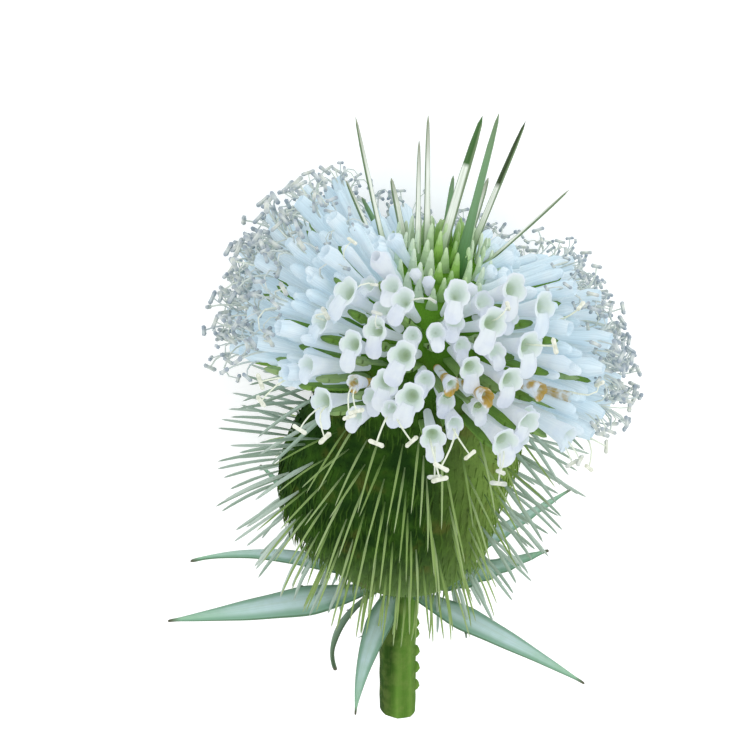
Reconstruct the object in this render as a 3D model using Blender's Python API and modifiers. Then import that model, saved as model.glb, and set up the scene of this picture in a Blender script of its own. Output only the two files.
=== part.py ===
"""A teasel flower head, cut with a short stem and laid on its back.

Metres, +Z up. Every piece is modelled upright, as it grew, round the head's axis: there +Z points to the tip
of the head, an azimuth of 0 degrees points along -Y and 90 degrees along +X. The whole is then laid down, so
that the tip points along +Y, azimuth 0 looks up and azimuth 180 rests on the plane Z = 0. In the upright
frame that plane is Y = AXIS_HEIGHT, and nothing passes it.
"""

import math

import bmesh
import bpy
import numpy as np
from mathutils import Matrix, Vector
from mathutils.bvhtree import BVHTree

# Driving dimensions of the head, in metres. Below the belt it bulges to its left by BELLY, and just under the belt
# it has a WAIST: its height, half its span and its depth.
HEAD_LENGTH = 0.056
HEAD_WIDTH = 0.0345
WIDEST_HEIGHT = -0.0050
BLUNTNESS = 2.4
BELLY = 0.0030
BELLY_SPAN = (-0.0300, 0.0060)
WAIST = (0.0025, 0.0030, 0.0018)
AXIS_HEIGHT = 0.0270
HEAD_CENTRE = (0.0022, 0.0012)
HEAD_LEAN = math.radians(6)
GAP = 0.0003
GOLDEN_ANGLE = math.pi * (3 - math.sqrt(5))

# The receptacle, which carries the bracts and passes through the belt of florets
RECEPTACLE_SIDES = 24
RECEPTACLE_RINGS = 16
RECEPTACLE_FOOT = -0.0274

# The spiny bracts below the florets, and the longer ones of the tuft above them
BRACT_COUNT = 220
BRACT_SPAN = (-0.0264, 0.0066)
BRACT_LENGTH = (0.0075, 0.0118)
BRACT_DROOP = (0.44, 0.15)
BRACT_WIDTH = 0.0021
BRACT_SPINE = 0.0007
ROOT_DEPTH = 0.0014
SCALE_SHARE = 0.3
SPINE_POINT = 0.35
# Each spine of the tuft: the azimuth and height of its root, the azimuth and angle that it leans to, in degrees,
# then its length and its widths at the root and past the scale.
TUFT = (
    (-80, 0.0254, -130, 26, 0.0219, 0.0014, 0.0009),
    (-81, 0.0250, -122, 36, 0.0138, 0.0014, 0.0009),
    (-47, 0.0271, -167, 22, 0.0174, 0.0016, 0.0010),
    (-39, 0.0276, -163, 20, 0.0204, 0.0016, 0.0010),
    (-4, 0.0276, 147, 19, 0.0215, 0.0024, 0.0017),
    (27, 0.0264, 149, 14, 0.0239, 0.0022, 0.0014),
    (97, 0.0271, 141, 27, 0.0214, 0.0018, 0.0013),
    (76, 0.0262, 99, 44, 0.0174, 0.0018, 0.0011),
    (170, 0.0266, 175, 28, 0.0105, 0.0016, 0.0010),
    (-130, 0.0262, -140, 28, 0.0105, 0.0016, 0.0010),
    (140, 0.0262, 150, 26, 0.0115, 0.0016, 0.0010),
    (-112, 0.0254, -118, 38, 0.0095, 0.0016, 0.0010),
)

# The belt of florets, which stands up higher and longer on its left, the side of FLORET_SWAY_AZIMUTH, is lower
# and shorter behind, at FLORET_DIP_AZIMUTH, and closes up by FLORET_FRONT at the side that faces up
FLORET_COUNT = 122
FLORET_SPAN = (0.0094, 0.0240)
FLORET_TILT = (math.radians(-8), math.radians(44))
FLORET_LENGTH = 0.0120
FLORET_FOOT = 0.0012
FLORET_SIDES = 8
FLORET_SWAY_AZIMUTH = math.radians(-100)
FLORET_SWAY = (math.radians(8), 0.0024)
FLORET_DIP_AZIMUTH = math.radians(160)
FLORET_DIP = (math.radians(24), 0.0042)
FLORET_FRONT = math.radians(22)
BELT_SPAN = (0.0082, 0.0248)
BELT_THICKNESS = 0.0028
BELT_SIDES = 28
BELT_STEPS = 4
TUBE_RADIUS = (0.0006, 0.0012)
FLARE = 0.0016
LOWER_LOBE = 0.0039
SIDE_LOBE = 0.0026
NOTCH = 0.0019
MOUTH_DEPTH = 0.0020
STAMEN_ROOT = 0.0008
STAMEN_REACH = 0.0050
FILAMENT_RADIUS = 0.0003
ANTHER_SIZE = (0.0026, 0.0009)
BARE_FLORET = 3

# The stem, which widens below its neck
STEM_RADIUS = 0.0028
STEM_NECK = 0.72
STEM_LENGTH = 0.0233
STEM_BEND = 0.0060
STEM_ROOT = 0.0011
STEM_SHOULDER = (0.30, 0.45, 0.0008)
STEM_RINGS = 9
PRICKLE_ROWS = 6
PRICKLES_IN_ROW = 6
PRICKLE_SIZE = (0.0006, 0.0007)

# The involucral bracts: azimuth, angle below level at the root and at the tip, sideways sweep and roll about the
# midrib, in degrees, then length, width and the depth of the teeth as a share of the width. A length of 0
# reaches as far as the plane that the head rests on. An outline is where the blade is widest, how wide it is at
# its root and how its taper bends.
LEAF_ROOT = (0.0034, -0.0284)
LEAF_THICKNESS = 0.0007
LEAF_KEEL = 0.22
LEAF_STEPS = 12
LEAF_OUTLINE = (0.32, 0.28, 1.35)
LEAF_TIP_SHARE = 0.07
LEAF_OUTLINES = {
    "involucral_bract_front": (0.22, 0.70, 1.0),
    "involucral_bract_front_right": (0.30, 0.62, 1.15),
    "involucral_bract_curled": (0.66, 0.36, 1.0),
}
LEAVES = {
    "involucral_bract_front": (-18, 14, 2, 16, 0, 0.0286, 0.0042, 0),
    "involucral_bract_front_right": (60, 5, 10, -3, 26, 0.0302, 0.0046, 0),
    "involucral_bract_right": (98, -17, -21, 0, 20, 0.0210, 0.0052, 0.16),
    "involucral_bract_back_right": (130, -12, -13, 0, 10, 0.0340, 0.0040, 0.16),
    "involucral_bract_rest_right": (161, 4, 10, 0, 0, 0, 0.0040, 0),
    "involucral_bract_rest_left": (-167, 4, 10, 0, 0, 0, 0.0040, 0),
    "involucral_bract_back_left": (-137, -10, -12, 0, -12, 0.0310, 0.0046, 0.2),
    "involucral_bract_far_left": (-107, -12, 30, 0, -15, 0.0318, 0.0034, 0),
    "involucral_bract_front_left": (-77, 11, 5, 4, -28, 0.0328, 0.0054, 0),
    "involucral_bract_curled": (-56, 14, 116, -26, -20, 0.0168, 0.0014, 0),
}

COLOURS = {
    "green": (0.075, 0.150, 0.035, 1.0),
    "white": (0.80, 0.85, 0.88, 1.0),
    "blue_green": (0.28, 0.43, 0.38, 1.0),
    "stem_green": (0.10, 0.19, 0.045, 1.0),
}


def clear_scene():
    """Removes whatever the file holds, so that only the teasel is in it."""
    for old in list(bpy.data.objects):
        bpy.data.objects.remove(old)


def finish_of(name, roughness):
    """A plain matt finish in one of the plant's colours."""
    material = bpy.data.materials.new(name)
    material.use_nodes = True
    surface = material.node_tree.nodes["Principled BSDF"]
    surface.inputs["Base Color"].default_value = COLOURS[name]
    surface.inputs["Roughness"].default_value = roughness
    surface.inputs["Metallic"].default_value = 0.0
    return material


def between(ends, share):
    """The value that lies this share of the way from the first end to the second."""
    return ends[0] + (ends[1] - ends[0]) * share


def wander(index, salt):
    """A repeatable number from -1 to 1 for a repeat's index, different for each salt."""
    value = math.sin(index * 12.9898 + salt * 78.233) * 43758.5453
    return 2 * (value - math.floor(value)) - 1


def radial(azimuth):
    """The level direction that points away from the axis at this azimuth."""
    return Vector((math.sin(azimuth), -math.cos(azimuth), 0))


def head_radius(height):
    """The receptacle's radius at this height: an egg with blunt ends, widest a little below its middle."""
    above = height > WIDEST_HEIGHT
    reach = HEAD_LENGTH / 2 - WIDEST_HEIGHT if above else HEAD_LENGTH / 2 + WIDEST_HEIGHT
    share = min(1.0, abs(height - WIDEST_HEIGHT) / reach)
    waist = WAIST[2] * math.exp(-(((height - WAIST[0]) / WAIST[1]) ** 2))
    return HEAD_WIDTH / 2 * math.sqrt(1 - share**BLUNTNESS) - waist


def head_shift(height):
    """How far the receptacle's middle stands off the axis at this height: it bulges to its left below the belt."""
    share = (height - BELLY_SPAN[0]) / (BELLY_SPAN[1] - BELLY_SPAN[0])
    return -BELLY * math.sin(math.pi * max(0.0, min(1.0, share))) ** 2


def head_point(height, azimuth):
    """The point of the receptacle's surface at this height and azimuth."""
    return radial(azimuth) * head_radius(height) + Vector((head_shift(height), 0, height))


def head_normal(height, azimuth):
    """The receptacle's outward normal."""
    step = HEAD_LENGTH / 2000
    above = head_radius(height + step) + head_shift(height + step) * math.sin(azimuth)
    below = head_radius(height - step) + head_shift(height - step) * math.sin(azimuth)
    return (radial(azimuth) - Vector((0, 0, (above - below) / (2 * step)))).normalized()


def spiral_sites(count, span):
    """Heights and azimuths of repeats on a golden spiral, each with an equal area of the receptacle."""
    heights = np.linspace(span[0], span[1], 200)
    radii = np.array([head_radius(height) for height in heights])
    rings = radii * np.sqrt(1 + np.gradient(radii, heights) ** 2)
    area = np.concatenate([[0.0], np.cumsum((rings[1:] + rings[:-1]) / 2)])
    shares = (np.arange(count) + 0.5) / count
    found = np.interp(shares * area[-1], area, heights)
    return [(float(height), i * GOLDEN_ANGLE) for i, height in enumerate(found)]


def aimed(point, outward):
    """A matrix whose Z runs outward from the point and whose Y leans towards the tip of the head."""
    z = outward.normalized()
    y = Vector((0, 0, 1)) - z * z.z
    if y.length < 0.01:
        y = Vector((0, 1, 0))
    y.normalize()
    x = y.cross(z)
    turn = Matrix((x, y, z)).transposed().to_4x4()
    return Matrix.Translation(point) @ turn


def pressed(point, direction, length):
    """The direction turned level, where its tip would pass the plane that the head rests on."""
    limit = (AXIS_HEIGHT - GAP - point.y) / length
    if direction.y <= limit:
        return direction
    level = Vector((direction.x, 0, direction.z))
    if level.length < 0.05:
        level = Vector((0, 0, -1))
    level = level.normalized() * math.sqrt(1 - limit * limit)
    return Vector((level.x, limit, level.z))


def object_of(name, bm, collection):
    """An object that holds the shape built in bm."""
    bmesh.ops.recalc_face_normals(bm, faces=bm.faces)
    mesh = bpy.data.meshes.new(name)
    bm.to_mesh(mesh)
    bm.free()
    made = bpy.data.objects.new(name, mesh)
    collection.objects.link(made)
    return made


def extend(bm, face, step, scale):
    """Extrudes an end face by step along Z and scales it about the Z axis. Returns the new end face."""
    grown = bmesh.ops.extrude_face_region(bm, geom=[face])["geom"]
    bmesh.ops.delete(bm, geom=[face], context="FACES_ONLY")
    corners = [g for g in grown if isinstance(g, bmesh.types.BMVert)]
    bmesh.ops.translate(bm, verts=corners, vec=(0, 0, step))
    bmesh.ops.scale(bm, verts=corners, vec=(scale, scale, 1))
    return next(g for g in grown if isinstance(g, bmesh.types.BMFace))


def start_cone(bm, sides, low_radius, high_radius, depth):
    """A capped cone from Z = 0 up to depth. Returns its top face."""
    centre = Matrix.Translation((0, 0, depth / 2))
    bmesh.ops.create_cone(
        bm, cap_ends=True, segments=sides, radius1=low_radius, radius2=high_radius, depth=depth, matrix=centre
    )
    return max(bm.faces, key=lambda face: face.calc_center_median().z)


def fuse(base, repeats):
    """Joins every object of the repeats collection to base, as one body."""
    union = base.modifiers.new("fuse", "BOOLEAN")
    union.operation = "UNION"
    union.operand_type = "COLLECTION"
    union.collection = repeats
    union.solver = "EXACT"
    graph = bpy.context.evaluated_depsgraph_get()
    mesh = bpy.data.meshes.new_from_object(base.evaluated_get(graph))
    base.modifiers.clear()
    base.data = mesh
    for extra in list(repeats.objects):
        bpy.data.objects.remove(extra)
    bpy.data.collections.remove(repeats)


def make_repeats(name):
    """A collection that holds a node's repeats until they are fused."""
    repeats = bpy.data.collections.new(name)
    bpy.context.scene.collection.children.link(repeats)
    return repeats


def make_receptacle(collection):
    """The egg-shaped body of the head, cut flat where the stem meets it."""
    bm = bmesh.new()
    bmesh.ops.create_uvsphere(
        bm, u_segments=RECEPTACLE_SIDES, v_segments=RECEPTACLE_RINGS, radius=HEAD_LENGTH / 2
    )
    for corner in bm.verts:
        level = corner.co.xy.length
        if level > GAP:
            corner.co.xy *= head_radius(corner.co.z) / level
        corner.co.x += head_shift(corner.co.z)
    cut = bmesh.ops.bisect_plane(
        bm, geom=bm.verts[:] + bm.edges[:] + bm.faces[:],
        plane_co=(0, 0, RECEPTACLE_FOOT), plane_no=(0, 0, -1), clear_outer=True,
    )
    rim = [g for g in cut["geom_cut"] if isinstance(g, bmesh.types.BMEdge)]
    bmesh.ops.contextual_create(bm, geom=rim)
    return object_of("seed_head", bm, collection)


def make_spine(root_width, spine_width, length, collection):
    """A bract: a broad scale at the root that narrows to a straight, stiff spine."""
    bm = bmesh.new()
    scale_length = length * SCALE_SHARE
    neck = start_cone(bm, 3, root_width / 2, spine_width / 2, scale_length + ROOT_DEPTH)
    extend(bm, neck, length - scale_length, SPINE_POINT)
    bmesh.ops.translate(bm, verts=bm.verts, vec=(0, 0, -ROOT_DEPTH))
    return object_of("bract", bm, collection)


def bract_places():
    """Root, direction, length and widths of every spiny bract outside the belt of florets."""
    for i, (height, azimuth) in enumerate(spiral_sites(BRACT_COUNT, BRACT_SPAN)):
        share = (height - BRACT_SPAN[0]) / (BRACT_SPAN[1] - BRACT_SPAN[0])
        length = between(BRACT_LENGTH, share**0.6) * (1 + 0.08 * wander(i, 1))
        droop = Vector((0, 0, -between(BRACT_DROOP, share)))
        direction = (head_normal(height, azimuth) + droop).normalized()
        yield height, azimuth, direction, length, (BRACT_WIDTH, BRACT_SPINE)
    for root, height, way, lean, length, *widths in TUFT:
        tilt = math.radians(lean)
        direction = radial(math.radians(way)) * math.sin(tilt) + Vector((0, 0, math.cos(tilt)))
        yield height, math.radians(root), direction, length, widths


def keeps_clear(root, direction, length, widths, neighbours):
    """Whether a spine keeps a gap to every neighbouring piece, all along."""
    samples = 15
    for step in range(samples + 1):
        point = root + direction * (length * step / samples)
        room = GAP + between(widths, min(1, 3 * step / samples)) / 2
        for tree in neighbours:
            if tree.find_nearest(point, room)[0] is not None:
                return False
    return True


def make_seed_head(collection, neighbours):
    """The receptacle with the bracts that stand clear of the neighbouring pieces, as one body."""
    head = make_receptacle(collection)
    repeats = make_repeats("bracts")
    for height, azimuth, direction, length, widths in bract_places():
        root = head_point(height, azimuth)
        direction = pressed(root, direction, length)
        if not keeps_clear(root, direction, length, widths, neighbours):
            continue
        spine = make_spine(*widths, length, repeats)
        spine.data.transform(aimed(root, direction))
    fuse(head, repeats)
    return head


def make_belt(collection):
    """The band of packed floret roots, turned about the head's axis just outside the receptacle."""
    heights = [between(BELT_SPAN, step / BELT_STEPS) for step in range(BELT_STEPS + 1)]
    outer = [(head_radius(h) + BELT_THICKNESS, h) for h in reversed(heights)]
    inner = [(head_radius(h) + GAP, h) for h in heights]
    bm = bmesh.new()
    corners = [bm.verts.new((radius, 0, height)) for radius, height in outer + inner]
    for first, second in zip(corners, corners[1:] + corners[:1]):
        bm.edges.new((first, second))
    mesh = bpy.data.meshes.new("floret_belt")
    bm.to_mesh(mesh)
    bm.free()
    belt = bpy.data.objects.new("floret_belt", mesh)
    collection.objects.link(belt)
    turn = belt.modifiers.new("turn", "SCREW")
    turn.axis = "Z"
    turn.steps = BELT_SIDES
    turn.render_steps = BELT_SIDES
    turn.use_merge_vertices = True
    turn.merge_threshold = 0.00005
    graph = bpy.context.evaluated_depsgraph_get()
    turned = bpy.data.meshes.new_from_object(belt.evaluated_get(graph))
    belt.modifiers.clear()
    belt.data = turned
    return belt


def make_floret(length, collection):
    """A trumpet with four lobes round a hollow mouth. The lowest lobe, towards -Y, is the longest."""
    bm = bmesh.new()
    throat = start_cone(bm, FLORET_SIDES, *TUBE_RADIUS, length - FLARE - FLORET_FOOT)
    rim = extend(bm, throat, FLARE, 1)
    for corner in rim.verts:
        angle = math.atan2(corner.co.y, corner.co.x)
        lobe = round(angle * FLORET_SIDES / (2 * math.pi)) % 2 == 0
        reach = SIDE_LOBE if lobe else NOTCH
        if lobe and corner.co.y < -abs(corner.co.x):
            reach = LOWER_LOBE
        corner.co.x = math.cos(angle) * reach
        corner.co.y = math.sin(angle) * reach
    hollow = bmesh.ops.poke(bm, faces=[rim])["verts"]
    bmesh.ops.translate(bm, verts=hollow, vec=(0, 0, -MOUTH_DEPTH))
    bmesh.ops.translate(bm, verts=bm.verts, vec=(0, 0, FLORET_FOOT))
    return object_of("floret", bm, collection)


def make_stamen(length, swing, collection):
    """A filament that stands out of the mouth and ends in a crossbar, its anther."""
    bm = bmesh.new()
    bar_length, bar_height = ANTHER_SIZE
    straight = STAMEN_ROOT + MOUTH_DEPTH + STAMEN_REACH - bar_height
    end = start_cone(bm, 3, FILAMENT_RADIUS, FILAMENT_RADIUS, straight)
    bar = extend(bm, end, bar_height / 2, 1)
    way = Vector((math.cos(swing), math.sin(swing), 0))
    for corner in bar.verts:
        corner.co += way * math.copysign(bar_length / 2, corner.co.dot(way))
    extend(bm, bar, bar_height / 2, 1)
    bmesh.ops.translate(bm, verts=bm.verts, vec=(0, 0, length - MOUTH_DEPTH - STAMEN_ROOT))
    return object_of("stamen", bm, collection)


def floret_places():
    """Number, place matrix and full length of every floret."""
    for i, (height, azimuth) in enumerate(spiral_sites(FLORET_COUNT, FLORET_SPAN)):
        share = (height - FLORET_SPAN[0]) / (FLORET_SPAN[1] - FLORET_SPAN[0])
        sway = math.cos(azimuth - FLORET_SWAY_AZIMUTH)
        dip = max(0.0, math.cos(azimuth - FLORET_DIP_AZIMUTH)) * min(1.0, 1.6 * share)
        front = max(0.0, math.cos(azimuth)) * max(-0.1, 1 - 2 * share)
        tilt = between(FLORET_TILT, share) + FLORET_SWAY[0] * sway + FLORET_FRONT * front - FLORET_DIP[0] * dip
        tilt += 0.05 * wander(i, 4)
        direction = radial(azimuth) * math.cos(tilt) + Vector((0, 0, math.sin(tilt)))
        length = FLORET_LENGTH * (1 + 0.05 * wander(i, 5)) - FLORET_DIP[1] * dip
        length += FLORET_SWAY[1] * max(0.0, sway) * (share + 0.3)
        yield i, aimed(head_point(height, azimuth), direction), length


def lowest(mesh, place):
    """How far the placed mesh passes the plane that the head rests on. It is negative above the plane."""
    return max((place @ corner.co).y for corner in mesh.vertices) - AXIS_HEIGHT


def make_floret_ring(collection):
    """The belt with its florets as one body. Those that the head rests on are shorter and have no stamen."""
    belt = make_belt(collection)
    repeats = make_repeats("florets")
    for i, place, length in floret_places():
        floret = make_floret(length, repeats)
        below = lowest(floret.data, place)
        if below > 0:
            steepness = (place @ Vector((0, 0, 1)) - place.translation).y
            bpy.data.objects.remove(floret)
            floret = make_floret(length - below / steepness, repeats)
        floret.data.transform(place)
        if below > 0 or i % BARE_FLORET == 0:
            continue
        stamen = make_stamen(length, math.pi * wander(i, 6), repeats)
        if lowest(stamen.data, place) > -GAP:
            bpy.data.objects.remove(stamen)
            continue
        stamen.data.transform(place)
    fuse(belt, repeats)
    return belt


def stem_shoulder(share):
    """How much of its shoulder the stem has at this share of the way down, from 0 in the neck to 1 below it."""
    part = (share - STEM_SHOULDER[0]) / (STEM_SHOULDER[1] - STEM_SHOULDER[0])
    return 0.5 - 0.5 * math.cos(math.pi * max(0.0, min(1.0, part)))


def stem_radius(share):
    """The stem's radius at this share of the way down: a neck below the head, then full width."""
    return STEM_RADIUS * between((STEM_NECK, 1), stem_shoulder(share))


def stem_path():
    """Points down the stem's middle, which leaves the head along its axis and bends to the row's Y axis."""
    path = [Vector((STEM_ROOT, 0, RECEPTACLE_FOOT - GAP))]
    step_length = STEM_LENGTH / (STEM_RINGS - 1)
    for step in range(1, STEM_RINGS):
        lean = HEAD_LEAN * min(1.0, step * step_length / STEM_BEND)
        path.append(path[-1] + Vector((math.sin(lean), 0, -math.cos(lean))) * step_length)
    for step, point in enumerate(path):
        point.x -= STEM_SHOULDER[2] * stem_shoulder(step / (STEM_RINGS - 1))
    return path


def make_prickle(place, collection):
    """A short broad prickle, sunk into the stem."""
    bm = bmesh.new()
    start_cone(bm, 4, PRICKLE_SIZE[0], PRICKLE_SIZE[0] * 0.2, PRICKLE_SIZE[1] + ROOT_DEPTH)
    bmesh.ops.translate(bm, verts=bm.verts, vec=(0, 0, -ROOT_DEPTH))
    bmesh.ops.transform(bm, matrix=place, verts=bm.verts)
    return object_of("prickle", bm, collection)


def make_stem(collection):
    """The prickly stem, a curve with a bevel that is made a mesh and fused with its prickles."""
    path = stem_path()
    last = STEM_RINGS - 1
    curve = bpy.data.curves.new("stem", "CURVE")
    curve.dimensions = "3D"
    curve.bevel_depth = STEM_RADIUS
    curve.bevel_resolution = 2
    curve.use_fill_caps = True
    line = curve.splines.new("POLY")
    line.points.add(last)
    for i, point in enumerate(path):
        line.points[i].co = (*point, 1)
        line.points[i].radius = stem_radius(i / last) / STEM_RADIUS
    guide = bpy.data.objects.new("stem_line", curve)
    collection.objects.link(guide)
    graph = bpy.context.evaluated_depsgraph_get()
    bm = bmesh.new()
    bm.from_mesh(bpy.data.meshes.new_from_object(guide.evaluated_get(graph)))
    bmesh.ops.remove_doubles(bm, verts=bm.verts, dist=0.00002)
    stem = object_of("stem", bm, collection)
    bpy.data.objects.remove(guide)
    repeats = make_repeats("prickles")
    for row in range(PRICKLE_ROWS):
        azimuth = 2 * math.pi * (row + 0.25) / PRICKLE_ROWS
        out = radial(azimuth)
        for step in range(PRICKLES_IN_ROW):
            share = (step + 0.8 + 0.4 * (row % 2)) / (PRICKLES_IN_ROW + 0.6)
            low = min(STEM_RINGS - 2, int(share * (STEM_RINGS - 1)))
            middle = path[low].lerp(path[low + 1], share * (STEM_RINGS - 1) - low)
            foot = middle + out * stem_radius(share)
            make_prickle(aimed(foot, out + Vector((0, 0, -0.3))), repeats)
    fuse(stem, repeats)
    return stem


def leaf_line(azimuth, low_angle, high_angle, sweep, roll, length):
    """Points along a leaf's midrib, from its root beside the stem out to its tip. Its roll doesn't move them."""
    point = radial(azimuth) * LEAF_ROOT[0] + Vector((0, 0, LEAF_ROOT[1]))
    line = [point]
    for step in range(LEAF_STEPS):
        share = (step + 0.5) / LEAF_STEPS
        angle = between((low_angle, high_angle), share)
        way = radial(azimuth + sweep * share) * math.cos(angle) - Vector((0, 0, math.sin(angle)))
        point = point + way * (length / LEAF_STEPS)
        line.append(point)
    return line


def resting_length(angles):
    """The length at which a leaf's tip just touches the plane that the head rests on."""
    reach_of_one = leaf_line(*angles, 1.0)
    run = (reach_of_one[-1] - reach_of_one[0]).y
    return (AXIS_HEIGHT - reach_of_one[0].y) / run


def leaf_half_width(share, width, outline):
    """Half the blade's width: narrow at the root, then widest, and drawn to a point."""
    widest, root_share, bend = outline
    if share < widest:
        return width / 2 * between((root_share, 1), math.sin(math.pi / 2 * share / widest))
    taper = 1 - ((share - widest) / (1 - widest)) ** bend
    return width / 2 * max(LEAF_TIP_SHARE, taper)


def make_leaf(name, angles, length, width, teeth, collection):
    """A long blade folded along its midrib, thick enough to stand by itself."""
    line = leaf_line(*angles, length)
    outline = LEAF_OUTLINES.get(name, LEAF_OUTLINE)
    bm = bmesh.new()
    bmesh.ops.create_grid(bm, x_segments=2, y_segments=LEAF_STEPS, size=1)
    for corner in bm.verts:
        side = round(corner.co.x)
        step = round((corner.co.y + 1) / 2 * LEAF_STEPS)
        share = step / LEAF_STEPS
        azimuth = angles[0] + angles[3] * share
        roll = angles[4] * min(1.0, share / outline[0])
        level = Vector((math.cos(azimuth), math.sin(azimuth), 0))
        across = level * math.cos(roll) + Vector((0, 0, math.sin(roll)))
        above = Vector((0, 0, math.cos(roll))) - level * math.sin(roll)
        half = leaf_half_width(share, width, outline) * (1 - teeth * (step % 2))
        corner.co = line[step] + across * (side * half) + above * (abs(side) * half * LEAF_KEEL)
    bmesh.ops.triangulate(bm, faces=bm.faces)
    leaf = object_of(name, bm, collection)
    wall = leaf.modifiers.new("wall", "SOLIDIFY")
    wall.thickness = LEAF_THICKNESS
    wall.offset = 0
    return leaf


def finish_piece(piece, material):
    """Gives a piece its material, with soft shading except across real edges."""
    piece.data.materials.clear()
    piece.data.materials.append(material)
    piece.data.shade_smooth()
    piece.data.set_sharp_from_angle(angle=math.radians(40))


def tree_of(made):
    """A search tree of an object's surface, as its modifiers leave it."""
    return BVHTree.FromObject(made, bpy.context.evaluated_depsgraph_get())


def lay_down(pieces):
    """Hangs the pieces on an empty that turns them from upright to lying on the plane Z = 0."""
    bed = bpy.data.objects.new("lying_head", None)
    bpy.context.scene.collection.objects.link(bed)
    bed.location = (*HEAD_CENTRE, AXIS_HEIGHT)
    bed.rotation_euler = (math.radians(-90), 0, -HEAD_LEAN)
    for piece in pieces:
        piece.parent = bed


def main():
    clear_scene()
    collection = bpy.data.collections.new("teasel_head")
    bpy.context.scene.collection.children.link(collection)
    leaves = []
    for name, (*degrees, length, width, teeth) in LEAVES.items():
        angles = [math.radians(angle) for angle in degrees]
        leaves.append(make_leaf(name, angles, length or resting_length(angles), width, teeth, collection))
    stem = make_stem(collection)
    ring = make_floret_ring(collection)
    bpy.context.view_layer.update()
    head = make_seed_head(collection, [tree_of(piece) for piece in [*leaves, stem, ring]])
    finish_piece(head, finish_of("green", 0.6))
    finish_piece(ring, finish_of("white", 0.5))
    finish_piece(stem, finish_of("stem_green", 0.6))
    leaf_finish = finish_of("blue_green", 0.55)
    for leaf in leaves:
        finish_piece(leaf, leaf_finish)
    lay_down([head, ring, stem, *leaves])


main()
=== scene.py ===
"""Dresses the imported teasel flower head: spiny green body, white florets, leafy bracts and a prickly stem.

Every piece is modelled upright, with the middle of the head at the origin, its tip towards +Z and the side
that faces the camera towards -Y. HeadShape.lying then lays each finished mesh down where the frame has it.
"""

import logging
from collections.abc import Callable, Iterable, Sequence
from dataclasses import dataclass, replace
from enum import Enum
from math import atan2, cos, degrees, exp, floor, pi, radians, sin, sqrt, tau
from typing import Any

import bmesh
import bpy
import numpy as np
from mathutils import Matrix, Vector

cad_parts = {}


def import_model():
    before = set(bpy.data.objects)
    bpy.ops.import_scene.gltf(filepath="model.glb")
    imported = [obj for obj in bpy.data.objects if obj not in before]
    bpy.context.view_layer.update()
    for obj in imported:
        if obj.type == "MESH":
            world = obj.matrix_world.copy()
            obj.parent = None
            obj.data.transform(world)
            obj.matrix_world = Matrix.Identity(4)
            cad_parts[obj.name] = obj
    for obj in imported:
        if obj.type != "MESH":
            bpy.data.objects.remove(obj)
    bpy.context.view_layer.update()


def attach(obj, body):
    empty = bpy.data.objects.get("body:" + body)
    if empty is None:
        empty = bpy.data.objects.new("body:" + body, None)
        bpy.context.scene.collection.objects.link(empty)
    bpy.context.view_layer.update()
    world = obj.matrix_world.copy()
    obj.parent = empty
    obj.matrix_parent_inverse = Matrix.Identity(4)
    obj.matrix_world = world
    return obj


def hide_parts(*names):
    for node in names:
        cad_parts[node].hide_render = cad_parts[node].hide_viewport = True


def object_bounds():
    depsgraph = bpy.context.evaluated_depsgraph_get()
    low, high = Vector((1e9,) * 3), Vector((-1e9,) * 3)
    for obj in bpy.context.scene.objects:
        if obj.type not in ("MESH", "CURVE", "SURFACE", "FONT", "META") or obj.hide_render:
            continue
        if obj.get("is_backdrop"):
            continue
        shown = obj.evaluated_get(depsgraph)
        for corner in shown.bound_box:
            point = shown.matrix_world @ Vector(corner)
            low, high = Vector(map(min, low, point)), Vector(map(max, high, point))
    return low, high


GOLDEN_ANGLE = pi * (3 - sqrt(5))
GREY = (0.5, 0.5, 0.5, 1.0)

Colour = tuple[float, float, float, float]
Number = tuple[float, float]
Place = tuple[float, float, float]
Piece = bpy.types.Object
Material = bpy.types.Material
Node = bpy.types.Node
Socket = bpy.types.NodeSocket
Tree = bpy.types.NodeTree

log = logging.getLogger("teasel")


def between(ends: Sequence[float], share: float) -> float:
    """Gives the value that lies this share of the way from the first end to the second."""
    return ends[0] + (ends[1] - ends[0]) * share


def limited(value: float) -> float:
    """Keeps a value from 0 to 1."""
    return max(0.0, min(1.0, value))


def wander(number: float, salt: int) -> float:
    """Gives a repeatable number from -1 to 1 for a repeat, different for each salt."""
    value = sin(number * 12.9898 + salt * 78.233) * 43758.5453
    return 2 * (value - floor(value)) - 1


def radial(azimuth: float) -> Vector:
    """Gives the level direction that points away from the axis at this azimuth."""
    return Vector((sin(azimuth), -cos(azimuth), 0))


def rising(azimuth: float, angle: float) -> Vector:
    """Gives the direction at this azimuth that rises from the level by this angle."""
    return radial(azimuth) * cos(angle) + Vector((0, 0, sin(angle)))


def leaning(azimuth: float, angle: float) -> Vector:
    """Gives the direction that leans from the upright towards this azimuth by this angle."""
    return radial(azimuth) * sin(angle) + Vector((0, 0, cos(angle)))


def aimed(point: Vector, outward: Vector, spin: float = 0.0) -> Matrix:
    """Makes the place matrix of a repeat that grows out of the head.

    Args:
        point: where the repeat's origin goes.
        outward: the direction that its Z axis takes.
        spin: how far it is turned about that direction, in radians.

    Returns:
        A matrix whose Y leans towards the tip of the head before the spin.
    """
    z = outward.normalized()
    y = Vector((0, 0, 1)) - z * z.z
    if y.length < 0.01:
        y = Vector((0, 1, 0))
    y.normalize()
    x = y.cross(z)
    turn = Matrix((x, y, z)).transposed().to_4x4()
    return Matrix.Translation(point) @ turn @ Matrix.Rotation(spin, 4, "Z")


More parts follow.
